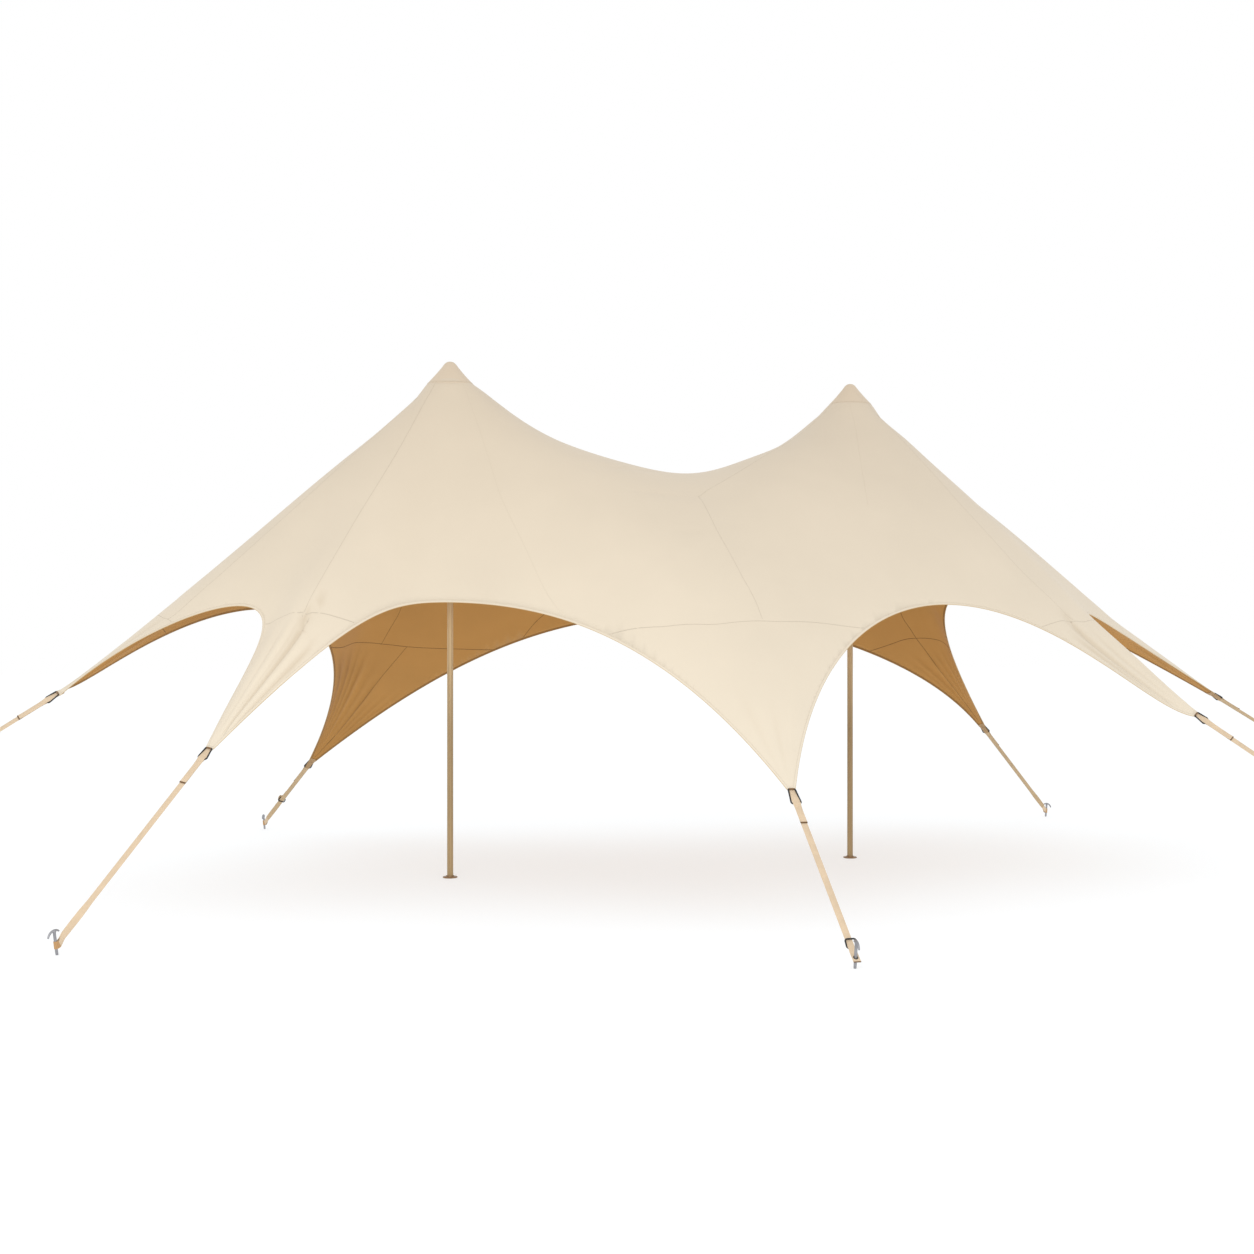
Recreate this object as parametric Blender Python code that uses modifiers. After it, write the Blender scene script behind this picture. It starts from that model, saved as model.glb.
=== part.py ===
# Stretch tent: two poles, a seven armed membrane canopy, ring buckles, straps and pegs.
# Units are metres, +Z up, the origin on the ground under the middle of the tent.
# The sizes below are measured from the line of the two poles, and the whole is set back at the end.
import math

import bmesh
import bpy
import numpy as np
from mathutils import Vector
from mathutils.geometry import delaunay_2d_cdt

# Main sizes of the tent
POLE_X = (-2.027, 1.055)
PEAK_HEIGHT = 3.600
CAP_RADIUS = 0.150
CAP_HEIGHT = 0.153
CAP_SEAM_Z = PEAK_HEIGHT - CAP_HEIGHT
CAP_TIP_RADIUS = 0.040
SHEET_THICK = 0.004
SET_BACK = 0.191
PANEL_GAP = 0.0004
MESH_STEP = 0.30
EDGE_STEP = 0.19

# Arms in order round the tent, counter clockwise seen from above
# Each has the place on the ground that its fabric heads for, its corner, and the distance to its neck seam
ARMS = {
    "left": ((-6.534, 0.000), (-4.591, 0.000, 1.317), 0.75),
    "front_left": ((-4.540, -1.753), (-3.711, -1.175, 1.024), 0.75),
    "front": ((-0.583, -3.373), (-0.558, -2.498, 0.808), 0.90),
    "front_right": ((3.996, -2.754), (2.858, -1.688, 1.145), 0.87),
    "right": ((6.534, 0.000), (4.360, 0.000, 1.204), 1.00),
    "back_right": ((4.190, 2.153), (3.083, 1.469, 0.881), 1.00),
    "back_left": ((-2.992, 3.388), (-2.674, 2.594, 0.629), 1.10),
}
ARM_NAMES = tuple(ARMS)

# Pegs: place on the ground, height of the handle, and turn of the handle from the line of the strap in degrees
PEGS = {
    "left": ((-6.534, 0.000), 0.130, 0.0),
    "front_left": ((-4.534, -1.928), 0.133, 0.0),
    "front": ((-0.675, -3.544), 0.143, 0.0),
    "front_right": ((3.996, -2.754), 0.130, 0.0),
    "right": ((6.534, 0.000), 0.130, 0.0),
    "back_right": ((3.991, 1.855), 0.119, -30.0),
    "back_left": ((-3.014, 3.168), 0.121, -20.0),
}

# Roll of each corner with its ring and strap, and the roll at the peg, in degrees
ROLLS = {
    "left": (-40.0, -90.0),
    "front_left": (-15.0, -90.0),
    "front": (0.0, 0.0),
    "front_right": (45.0, 90.0),
    "right": (-25.0, -90.0),
    "back_right": (-20.0, -90.0),
    "back_left": (25.0, 90.0),
}

# Free edge of the canopy from each arm to the next, a curve through five control points
# (heading off the arm in degrees, rise per metre, reach), middle point, and the same at the far end
ARCHES = (
    ((26.6, 0.83, 0.85), (-2.93, -0.51, 2.08), (23.5, 0.98, 0.73)),
    ((18.7, 0.92, 1.73), (-2.75, -0.48, 1.24), (30.3, 0.95, 1.98)),
    ((29.0, 0.93, 1.54), (1.59, -1.37, 2.32), (25.6, 0.18, 0.45)),
    ((20.1, 0.71, 0.43), (2.33, -0.69, 2.11), (8.0, 0.48, 1.75)),
    ((18.6, 0.57, 1.52), (1.72, 0.68, 2.57), (8.5, 0.68, 1.19)),
    ((18.8, 0.93, 1.06), (-0.06, 0.97, 1.91), (33.7, 0.73, 2.31)),
    ((4.2, 0.91, 1.84), (-3.70, 0.35, 2.19), (19.5, -0.05, 0.27)),
)

# Pull of the fabric: strong along the lines that run out from a peak, weak across them
CROSS_PULL = 0.08
CROSS_REACH = 0.80
SADDLE_EASE = 0.95
SADDLE_CROSS = 0.10
SADDLE_WIDTH = 1.10

# Swells of the stretched sheet: (x, y, radius, height)
SWELLS = (
    (-3.00, 0.00, 0.55, 0.020), (-2.45, 0.00, 0.25, 0.010), (-1.35, -0.20, 0.40, -0.020),
    (-0.65, -0.30, 0.50, 0.056), (0.10, 0.00, 0.40, -0.011), (0.55, 0.00, 0.35, -0.053),
    (1.35, -0.12, 0.30, -0.013), (1.85, -0.15, 0.40, -0.034), (2.90, -0.08, 0.40, -0.009),
    (3.50, -0.05, 0.40, -0.049),
)
SWELL_EDGE = 0.30
SWELL_CAP = 0.10

# Corner, ring buckle and strap
# The ring's upper bar lies on the tab at the corner, its lower bar in the end of the strap
CORNER_HALF = 0.032
TIP_AT = 0.001
STRAP_HALF = 0.019
STRAP_THICK = 0.003
TAIL_THICK = 0.006
TAIL_END = 0.290
RING_WIRE = 0.0035
RING_CORNERS = (0.008, 0.014)
RING_HALVES = (0.0225, 0.0300)
RING_TOP = 0.0065
RING_RISE = 0.0064
RING_ENDS = {"left": 0.090, "front_left": 0.090, "front": 0.126, "front_right": 0.090,
             "right": 0.090, "back_right": 0.090, "back_left": 0.090}
RING_ROOM = 0.0005
TWIST_LENGTH = 0.30

# Rings that the webbing is threaded through: one above the front peg, one on the back left strap
THREAD_RISE = 0.0056
PEG_RING_BACK = 0.100
PEG_RING_HALF_LONG = 0.0275
PEG_RING_HALF_WIDE = 0.0325
SLIDER_SHARE = 0.622
SLIDER_HALF_LONG = 0.0150
SLIDER_HALF_WIDE = 0.0270

# End of the front strap, pierced by its peg
FLAP_BACK = 0.045
FLAP_END = 0.032

# Shaft and curved handle of a peg, and the loop of webbing round it
SHAFT_RADIUS = 0.0080
PEG_SLOPE = 0.147
HANDLE_RADIUS = 0.045
HANDLE_START = -45.0
HANDLE_END = 75.0
HANDLE_WIRE = 0.0062
LOOP_HEIGHT = 0.054
LOOP_HALF = 0.020
LOOP_INNER = 0.0086
LOOP_OUTER = 0.0150

# Pole and foot
POLE_RADIUS = 0.0212
POLE_BORE = 0.0180
POLE_BOTTOM = 0.0083
HEAD_RADIUS = 0.0350
HEAD_BASE_Z = 3.500
HEAD_TOP_Z = 3.5957
FOOT_RADIUS = 0.051
FOOT_THICK = 0.008
SOCKET_RADIUS = 0.0275
SOCKET_HEIGHT = 0.016


def clear_scene():
    for item in list(bpy.data.objects):
        bpy.data.objects.remove(item, do_unlink=True)


def make_collection(name):
    group = bpy.data.collections.new(name)
    bpy.context.scene.collection.children.link(group)
    return group


def make_material(name, colour, roughness, metallic):
    mat = bpy.data.materials.new(name)
    mat.use_nodes = True
    shader = mat.node_tree.nodes["Principled BSDF"]
    shader.inputs["Base Color"].default_value = (*colour, 1.0)
    shader.inputs["Roughness"].default_value = roughness
    shader.inputs["Metallic"].default_value = metallic
    mat.diffuse_color = (*colour, 1.0)
    return mat


def add_mesh(group, name, points, faces, mat):
    mesh = bpy.data.meshes.new(name)
    mesh.from_pydata([tuple(map(float, p)) for p in points], [], [tuple(map(int, f)) for f in faces])
    mesh.validate()
    shape = bmesh.new()
    shape.from_mesh(mesh)
    bmesh.ops.recalc_face_normals(shape, faces=shape.faces)
    shape.to_mesh(mesh)
    shape.free()
    mesh.materials.append(mat)
    item = bpy.data.objects.new(name, mesh)
    group.objects.link(item)
    return item


# Arm directions

def arm_plan(name):
    aim, corner, neck = ARMS[name]
    out = np.array(aim) - np.array(corner[:2])
    out = out / np.linalg.norm(out)
    side = np.array((-out[1], out[0]))
    return np.array(corner), out, side


def peg_plan(name):
    run = np.array((*PEGS[name][0], 0.0)) - np.array((*ARMS[name][1][:2], 0.0))
    out = run / np.linalg.norm(run)
    return out, np.array((-out[1], out[0], 0.0))


def peg_axis(name):
    place, height, turn = PEGS[name]
    out, side = peg_plan(name)
    return np.array((*place, 0.0)), out * (PEG_SLOPE * height) + np.array((0.0, 0.0, height))


def strap_frame(name):
    corner = np.array(ARMS[name][1])
    foot, lean = peg_axis(name)
    target = foot + lean * (LOOP_HEIGHT / PEGS[name][1])
    run = target - corner
    length = np.linalg.norm(run)
    along = run / length
    out, side = peg_plan(name)
    rise = np.cross(along, side)
    if rise[2] < 0:
        rise = -rise
    roll = math.radians(ROLLS[name][0])
    across = side * math.cos(roll) + rise * math.sin(roll)
    up = rise * math.cos(roll) - side * math.sin(roll)
    return corner, along, across, up, length, target


# Edge curves

def arch_controls(index):
    first = ARM_NAMES[index]
    second = ARM_NAMES[(index + 1) % len(ARM_NAMES)]
    start, middle, end = ARCHES[index]
    corner_a, out_a, side_a = arm_plan(first)
    corner_b, out_b, side_b = arm_plan(second)
    point_a = corner_a + strap_frame(first)[2] * CORNER_HALF
    point_b = corner_b - strap_frame(second)[2] * CORNER_HALF
    turn = math.radians(start[0])
    way = -out_a * math.cos(turn) + side_a * math.sin(turn)
    control_a = point_a + start[2] * np.array((way[0], way[1], start[1]))
    turn = math.radians(end[0])
    way = -out_b * math.cos(turn) - side_b * math.sin(turn)
    control_b = point_b + end[2] * np.array((way[0], way[1], end[1]))
    return np.array((point_a, control_a, middle, control_b, point_b))


def curve_points(controls, amounts):
    amounts = np.asarray(amounts)[:, None]
    top = len(controls) - 1
    total = 0.0
    for i in range(top + 1):
        total = total + math.comb(top, i) * (1 - amounts) ** (top - i) * amounts ** i * controls[i]
    return total


def arch_points(index, step):
    fine = curve_points(arch_controls(index), np.linspace(0.0, 1.0, 401))
    lengths = np.concatenate(((0.0,), np.cumsum(np.linalg.norm(np.diff(fine, axis=0), axis=1))))
    first = ARM_NAMES[index]
    second = ARM_NAMES[(index + 1) % len(ARM_NAMES)]
    stops = [0.0, neck_stop(fine, lengths, first, False), neck_stop(fine, lengths, second, True), lengths[-1]]
    places = []
    for a, b in zip(stops[:-1], stops[1:]):
        count = max(2, int(math.ceil((b - a) / step)))
        places.extend(a + (b - a) * k / count for k in range(count))
    places.append(lengths[-1])
    line = np.stack([np.interp(places, lengths, fine[:, i]) for i in range(3)], -1)
    marks = [places.index(stops[1]), places.index(stops[2])]
    return line, marks


def neck_stop(fine, lengths, name, from_end):
    corner, out, side = arm_plan(name)
    deep = -(fine[:, :2] - corner[:2]) @ out
    order = range(len(fine) - 1, -1, -1) if from_end else range(len(fine))
    best = -1.0
    found = 0
    for i in order:
        if deep[i] >= ARMS[name][2]:
            return float(lengths[i])
        if deep[i] > best:
            best = deep[i]
            found = i
        elif deep[i] < best - 0.02:
            break
    return float(lengths[found])


# Flat layout of the canopy, seen from above

def inside_outline(outline, points):
    x = points[:, 0]
    y = points[:, 1]
    hit = np.zeros(len(points), bool)
    for i in range(len(outline)):
        x1, y1 = outline[i]
        x2, y2 = outline[(i + 1) % len(outline)]
        if y1 == y2:
            continue
        crosses = ((y1 > y) != (y2 > y)) & (x < (x2 - x1) * (y - y1) / (y2 - y1) + x1)
        hit ^= crosses
    return hit


def distance_to_line(points, start, end):
    run = end - start
    amount = np.clip(((points - start) @ run) / max(run @ run, 1e-12), 0.0, 1.0)
    return np.linalg.norm(points - (start + amount[:, None] * run), axis=1)


def outline_points(edge_step):
    points = []
    necks = {}
    for index, name in enumerate(ARM_NAMES):
        following = ARM_NAMES[(index + 1) % len(ARM_NAMES)]
        line, marks = arch_points(index, edge_step)
        necks.setdefault(name, [None, None])[0] = len(points) + marks[0]
        necks.setdefault(following, [None, None])[1] = len(points) + marks[1]
        points.extend(tuple(p) for p in line)
        corner, along, across, up, length, target = strap_frame(following)
        tab_end = RING_ENDS[following] - RING_WIRE - RING_ROOM
        for lateral, distance in ((-1, 0.002), (-1, tab_end), (0, tab_end), (1, tab_end), (1, 0.002)):
            place = corner + along * distance + across * (STRAP_HALF * lateral)
            points.append(tuple(place))
    return np.array(points), necks


def ring_angles(name_index, targets, count):
    wanted = sorted(a % (2 * math.pi) for a in targets)
    angles = []
    for i, start in enumerate(wanted):
        end = wanted[(i + 1) % len(wanted)]
        span = (end - start) % (2 * math.pi)
        parts = max(1, int(round(span / (2 * math.pi / count))))
        angles.extend(start + span * k / parts for k in range(parts))
    return angles


def corner_tips():
    tips = []
    for name in ARM_NAMES:
        corner, along, across, up, length, target = strap_frame(name)
        tips.append(corner + along * TIP_AT)
    return np.array(tips)


def neck_middle(points, necks, name):
    a, b = necks[name]
    return 0.5 * (points[a][:2] + points[b][:2])


def ridge_targets(points, necks):
    targets = ([], [])
    for name in ARM_NAMES:
        corner, along, across, up, length, target = strap_frame(name)
        tip = (corner + along * TIP_AT)[:2]
        if name in ("left", "front_left", "back_left"):
            targets[0].append((tip, neck_middle(points, necks, name)))
        elif name in ("front_right", "right", "back_right"):
            targets[1].append((tip, neck_middle(points, necks, name)))
    front = neck_middle(points, necks, "front")
    targets[0].append((front, front))
    targets[1].append((front, front))
    targets[0].append((np.array((POLE_X[1] - CAP_RADIUS, 0.0)), None))
    targets[1].append((np.array((POLE_X[0] + CAP_RADIUS, 0.0)), None))
    return targets


def canopy_layout(mesh_step, edge_step):
    points, necks = outline_points(edge_step)
    outline = points[:, :2]
    fixed = np.concatenate((points, corner_tips()))
    flat = [tuple(p) for p in fixed[:, :2]]
    edges = [(i, (i + 1) % len(points)) for i in range(len(points))]
    for name in ARM_NAMES:
        edges.append(tuple(necks[name]))
    targets = ridge_targets(points, necks)
    lines = [(outline[a], outline[b]) for a, b in edges]
    ring_reach = []
    for side, centre_x in enumerate(POLE_X):
        centre = np.array((centre_x, 0.0))
        aims = []
        for tip, neck in targets[side]:
            way = (neck if neck is not None else tip) - centre
            aims.append(math.atan2(way[1], way[0]))
        count = 16
        angles = ring_angles(side, aims, count)
        base = len(flat)
        flat.extend((centre_x + CAP_RADIUS * math.cos(a), CAP_RADIUS * math.sin(a)) for a in angles)
        edges.extend((base + i, base + (i + 1) % len(angles)) for i in range(len(angles)))
        radius = CAP_RADIUS * 1.55
        turn = 0
        while radius * 2 * math.pi / count < mesh_step * 0.9:
            for i in range(count):
                a = 2 * math.pi * (i + 0.5 * (turn % 2)) / count
                flat.append((centre_x + radius * math.cos(a), radius * math.sin(a)))
            radius += max(radius * 2 * math.pi / count, 0.05)
            turn += 1
        ring_reach.append(radius)
        for (tip, neck), aim in zip(targets[side], aims):
            if neck is None and side == 1:
                continue
            start = centre + CAP_RADIUS * np.array((math.cos(aim), math.sin(aim)))
            path = [start]
            stops = [neck, tip] if neck is not None and np.linalg.norm(neck - tip) > 0.01 else [tip]
            for stop in stops:
                run = np.linalg.norm(stop - path[-1])
                parts = max(1, int(round(run / mesh_step)))
                origin = path[-1]
                path.extend(origin + (stop - origin) * (k / parts) for k in range(1, parts + 1))
            first = len(flat)
            flat.extend(tuple(p) for p in path)
            edges.extend((first + i, first + i + 1) for i in range(len(path) - 1))
            lines.append((start, path[-1]))
    low = outline.min(axis=0)
    high = outline.max(axis=0)
    grid = []
    row = 0
    y = low[1]
    while y < high[1]:
        x = low[0] + (mesh_step / 2 if row % 2 else 0.0)
        while x < high[0]:
            grid.append((x, y))
            x += mesh_step
        y += mesh_step * math.sqrt(3) / 2
        row += 1
    grid = np.array(grid)
    grid = grid[inside_outline(outline, grid)]
    near = np.full(len(grid), 9.0)
    for a, b in lines:
        near = np.minimum(near, distance_to_line(grid, a, b))
    keep = near > mesh_step * 0.5
    for centre_x, radius in zip(POLE_X, ring_reach):
        keep &= np.linalg.norm(grid - np.array((centre_x, 0.0)), axis=1) > radius - 0.2 * mesh_step
    flat.extend(tuple(p) for p in grid[keep])
    result = delaunay_2d_cdt([Vector(p) for p in flat], edges, [], 0, 1e-5)
    plan = np.array([tuple(v) for v in result[0]])
    height = np.full(len(plan), np.nan)
    for i, sources in enumerate(result[3]):
        for k in sources:
            if k < len(fixed):
                plan[i] = fixed[k][:2]
                height[i] = fixed[k][2]
    triangles = np.array([f for f in result[2] if len(f) == 3])
    centres = plan[triangles].mean(axis=1)
    good = inside_outline(outline, centres)
    for centre_x in POLE_X:
        centre = np.array((centre_x, 0.0))
        good &= np.linalg.norm(centres - centre, axis=1) > CAP_RADIUS * 0.975
        rim = np.abs(np.linalg.norm(plan - centre, axis=1) - CAP_RADIUS) < 1e-4
        height[rim] = CAP_SEAM_Z
    triangles = triangles[good]
    first, second, third = (plan[triangles[:, i]] for i in range(3))
    area = (second - first)[:, 0] * (third - first)[:, 1] - (second - first)[:, 1] * (third - first)[:, 0]
    triangles[area < 0] = triangles[area < 0][:, ::-1]
    triangles = triangles[np.abs(area) > 1e-9]
    return plan, height, triangles, points, necks


# Height of the stretched sheet, from the balance of its pull

def fabric_pull(centres):
    pull = np.zeros((len(centres), 2, 2))
    spans = [np.linalg.norm(centres - np.array((x, 0.0)), axis=1) for x in POLE_X]
    weight = spans[0] ** -3.0 + spans[1] ** -3.0
    for side, centre_x in enumerate(POLE_X):
        reach = spans[side]
        way = (centres - np.array((centre_x, 0.0))) / reach[:, None]
        inward = np.maximum(way[:, 0] * (1 if side == 0 else -1), 0.0)
        amount = reach ** -3.0 / weight / reach
        radial = 1.0 - SADDLE_EASE * inward ** 2
        cross = CROSS_PULL * np.minimum(1.0, (CROSS_REACH / reach) ** 2)
        dyad = way[:, :, None] * way[:, None, :]
        pull += (amount * radial)[:, None, None] * dyad
        pull += (amount * cross)[:, None, None] * np.eye(2)
    middle = 0.5 * (POLE_X[0] + POLE_X[1])
    pull[:, 1, 1] += SADDLE_CROSS * np.exp(-((centres[:, 0] - middle) / SADDLE_WIDTH) ** 2)
    return pull


def relax_height(plan, height, triangles):
    count = len(plan)
    a, b, c = (plan[triangles[:, i]] for i in range(3))
    area = 0.5 * ((b - a)[:, 0] * (c - a)[:, 1] - (b - a)[:, 1] * (c - a)[:, 0])
    area = np.maximum(area, 1e-9)
    slope_a = np.stack((b[:, 1] - c[:, 1], c[:, 0] - b[:, 0]), -1)
    slope_b = np.stack((c[:, 1] - a[:, 1], a[:, 0] - c[:, 0]), -1)
    slope_c = np.stack((a[:, 1] - b[:, 1], b[:, 0] - a[:, 0]), -1)
    slopes = np.stack((slope_a, slope_b, slope_c), 1) / (2 * area[:, None, None])
    stiff = np.einsum("tia,tab,tjb,t->tij", slopes, fabric_pull((a + b + c) / 3), slopes, area)
    rows = np.repeat(triangles[:, :, None], 3, 2).ravel()
    columns = np.repeat(triangles[:, None, :], 3, 1).ravel()
    values = stiff.ravel()
    used = np.zeros(count, bool)
    used[triangles.ravel()] = True
    fixed = ~np.isnan(height)
    free = used & ~fixed
    result = np.where(fixed & used, height, 0.0)

    def apply(field):
        return np.bincount(rows, values * field[columns], count)

    diagonal = np.bincount(rows[rows == columns], values[rows == columns], count)
    inverse = np.where(free, 1.0 / np.maximum(diagonal, 1e-12), 0.0)
    residual = np.where(free, -apply(result), 0.0)
    field = np.zeros(count)
    scaled = inverse * residual
    search = scaled.copy()
    energy = residual @ scaled
    for _ in range(3000):
        moved = np.where(free, apply(search), 0.0)
        amount = energy / (search @ moved)
        field += amount * search
        residual -= amount * moved
        if np.abs(residual).max() < 1e-9:
            break
        scaled = inverse * residual
        following = residual @ scaled
        search = scaled + following / energy * search
        energy = following
    result[free] = field[free]
    return result


def vertex_normals(points, triangles):
    a, b, c = (points[triangles[:, i]] for i in range(3))
    face = np.cross(b - a, c - a)
    normals = np.zeros_like(points)
    for i in range(3):
        np.add.at(normals, triangles[:, i], face)
    lengths = np.linalg.norm(normals, axis=1)
    lengths[lengths == 0] = 1.0
    return normals / lengths[:, None]


def smooth_step(low, high, value):
    amount = np.clip((value - low) / (high - low), 0.0, 1.0)
    return amount * amount * (3.0 - 2.0 * amount)


def swell_height(plan, outline):
    gap = np.full(len(plan), 9.0)
    for a, b in zip(outline, np.roll(outline, -1, axis=0)):
        gap = np.minimum(gap, distance_to_line(plan, a, b))
    reach = np.minimum(*[np.hypot(plan[:, 0] - x, plan[:, 1]) for x in POLE_X])
    hold = smooth_step(0.0, SWELL_EDGE, gap) * smooth_step(CAP_RADIUS, CAP_RADIUS + SWELL_CAP, reach)
    total = np.zeros(len(plan))
    for x, y, radius, tall in SWELLS:
        total += tall * np.exp(-((plan[:, 0] - x) ** 2 + (plan[:, 1] - y) ** 2) / radius ** 2)
    return total * hold


# Panels of the canopy

def arm_triangles(name, plan, triangles, points, necks):
    first, second = (points[i][:2] for i in necks[name])
    on_neck = distance_to_line(plan, first, second) < 1e-4
    corner = np.array(ARMS[name][1][:2])
    centres = plan[triangles].mean(axis=1)
    start = int(np.argmin(np.linalg.norm(centres - corner, axis=1)))
    owners = {}
    for i, t in enumerate(triangles.tolist()):
        for k in range(3):
            a, b = t[k], t[(k + 1) % 3]
            if not (on_neck[a] and on_neck[b]):
                owners.setdefault((min(a, b), max(a, b)), []).append(i)
    neighbours = {}
    for pair in owners.values():
        if len(pair) == 2:
            neighbours.setdefault(pair[0], []).append(pair[1])
            neighbours.setdefault(pair[1], []).append(pair[0])
    found = {start}
    queue = [start]
    while queue:
        for other in neighbours.get(queue.pop(), []):
            if other not in found:
                found.add(other)
                queue.append(other)
    return sorted(found)


def panel_of(centre, points, necks):
    left = (centre[0] - POLE_X[0], centre[1])
    right = (centre[0] - POLE_X[1], centre[1])
    angle_left = math.degrees(math.atan2(left[1], left[0])) % 360.0
    angle_right = math.degrees(math.atan2(right[1], right[0])) % 360.0

    def aim(side, name):
        way = neck_middle(points, necks, name) - np.array((POLE_X[side], 0.0))
        return math.degrees(math.atan2(way[1], way[0])) % 360.0

    if centre[1] > 0:
        if angle_left > aim(0, "back_left"):
            return "panel_left_back"
        if angle_right < aim(1, "back_right"):
            return "panel_right_back"
        return "panel_back"
    if angle_left < aim(0, "front_left"):
        return "panel_left_front"
    if angle_left < aim(0, "front"):
        return "panel_front_left"
    if angle_right > aim(1, "front_right"):
        return "panel_right_front"
    if angle_right > aim(1, "front"):
        return "panel_front_right"
    return "panel_front_middle"


def panel_solid(points, normals, triangles):
    used = sorted(set(triangles.ravel().tolist()))
    index = {v: i for i, v in enumerate(used)}
    local = [tuple(index[v] for v in t) for t in triangles.tolist()]
    edges = {}
    for t in local:
        for i in range(3):
            edges[(t[i], t[(i + 1) % 3])] = True
    border = [(a, b) for (a, b) in edges if (b, a) not in edges]
    base = points[used].copy()
    inward = np.zeros((len(used), 2))
    for a, b in border:
        run = base[b][:2] - base[a][:2]
        run = run / max(np.linalg.norm(run), 1e-9)
        normal = np.array((-run[1], run[0]))
        inward[a] += normal
        inward[b] += normal
    lengths = np.linalg.norm(inward, axis=1)
    edge_points = lengths > 1e-6
    base[edge_points, :2] += inward[edge_points] / lengths[edge_points][:, None] * PANEL_GAP
    up = normals[used] * (SHEET_THICK / 2)
    top = base + up
    low = base - up
    count = len(used)
    faces = list(local)
    faces += [(c + count, b + count, a + count) for a, b, c in local]
    for a, b in border:
        if used[a] < used[b]:
            faces.append((b, a, b + count))
            faces.append((a, a + count, b + count))
        else:
            faces.append((b, a, a + count))
            faces.append((b, a + count, b + count))
    return np.concatenate((top, low)), faces


def make_canopy(group, mat):
    plan, height, triangles, points, necks = canopy_layout(MESH_STEP, EDGE_STEP)
    height = relax_height(plan, height, triangles) + swell_height(plan, points[:, :2])
    surface = np.column_stack((plan, height))
    normals = vertex_normals(surface, triangles)
    centres = plan[triangles].mean(axis=1)
    labels = np.array([panel_of(c, points, necks) for c in centres], dtype=object)
    for name in ARM_NAMES:
        labels[arm_triangles(name, plan, triangles, points, necks)] = "arm_" + name
    for name in sorted(set(labels.tolist())):
        verts, faces = panel_solid(surface, normals, triangles[labels == name])
        add_mesh(group, name, verts, faces, mat)


# Round parts

def turned(group, name, profile, centre_x, mat, segments, closed):
    mesh = bpy.data.meshes.new(name)
    edges = [(i, i + 1) for i in range(len(profile) - 1)]
    if closed:
        edges.append((len(profile) - 1, 0))
    mesh.from_pydata([(r, 0.0, z) for r, z in profile], edges, [])
    mesh.materials.append(mat)
    item = bpy.data.objects.new(name, mesh)
    item.location = (centre_x, 0.0, 0.0)
    group.objects.link(item)
    spin = item.modifiers.new("turn", "SCREW")
    spin.axis = "Z"
    spin.steps = segments
    spin.render_steps = segments
    spin.use_merge_vertices = True
    spin.merge_threshold = 0.0001
    spin.use_normal_calculate = True
    return item


def make_cap(group, name, centre_x, mat):
    tip = PEAK_HEIGHT
    outer = [(CAP_RADIUS + 0.004, CAP_SEAM_Z + 0.0040)]
    outer.append((0.100, CAP_SEAM_Z + 0.058))
    outer.append((0.058, CAP_SEAM_Z + 0.108))
    outer.append((CAP_TIP_RADIUS, tip - 0.021))
    outer.append((0.026, tip - 0.008))
    outer.append((0.011, tip - 0.001))
    outer.append((0.0, tip))
    inner = [(0.0, tip - 0.004)]
    inner.append((0.010, tip - 0.005))
    inner.append((0.0235, tip - 0.0112))
    inner.append((CAP_TIP_RADIUS - 0.0035, tip - 0.0225))
    inner.append((0.054, CAP_SEAM_Z + 0.1055))
    inner.append((0.0965, CAP_SEAM_Z + 0.0555))
    inner.append((CAP_RADIUS + 0.001, CAP_SEAM_Z + 0.0020))
    profile = inner + outer
    turned(group, name, profile, centre_x, mat, 24, False)


def make_pole(group, name, centre_x, mat):
    profile = [
        (POLE_BORE, POLE_BOTTOM),
        (POLE_RADIUS, POLE_BOTTOM),
        (POLE_RADIUS, HEAD_BASE_Z),
        (HEAD_RADIUS - 0.004, HEAD_BASE_Z + 0.004),
        (HEAD_RADIUS, HEAD_BASE_Z + 0.014),
        (HEAD_RADIUS, HEAD_TOP_Z - 0.022),
        (0.0225, HEAD_TOP_Z - 0.008),
        (0.0100, HEAD_TOP_Z - 0.0010),
        (0.0, HEAD_TOP_Z),
        (0.0, HEAD_BASE_Z - 0.010),
        (POLE_BORE, HEAD_BASE_Z - 0.010),
    ]
    order = profile[9:] + profile[:9]
    turned(group, name, order, centre_x, mat, 28, False)


def make_foot(group, name, centre_x, mat):
    bore = POLE_RADIUS + 0.0004
    outer = [
        (0.0, 0.0),
        (FOOT_RADIUS - 0.0015, 0.0),
        (FOOT_RADIUS, 0.0015),
        (FOOT_RADIUS, FOOT_THICK - 0.002),
        (FOOT_RADIUS - 0.002, FOOT_THICK),
        (SOCKET_RADIUS + 0.003, FOOT_THICK + 0.001),
        (SOCKET_RADIUS, FOOT_THICK + 0.003),
        (SOCKET_RADIUS, SOCKET_HEIGHT - 0.002),
        (SOCKET_RADIUS - 0.002, SOCKET_HEIGHT),
        (bore, SOCKET_HEIGHT),
        (bore, FOOT_THICK),
        (0.0, FOOT_THICK),
    ]
    turned(group, name, outer, centre_x, mat, 32, False)


# Lofted bars and straps

def loft(sections):
    points = [p for section in sections for p in section]
    size = len(sections[0])
    faces = []
    for i in range(len(sections) - 1):
        for k in range(size):
            a = i * size + k
            b = i * size + (k + 1) % size
            faces.append((a, b, b + size, a + size))
    faces.append(tuple(range(size - 1, -1, -1)))
    last = (len(sections) - 1) * size
    faces.append(tuple(range(last, last + size)))
    return points, faces


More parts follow.
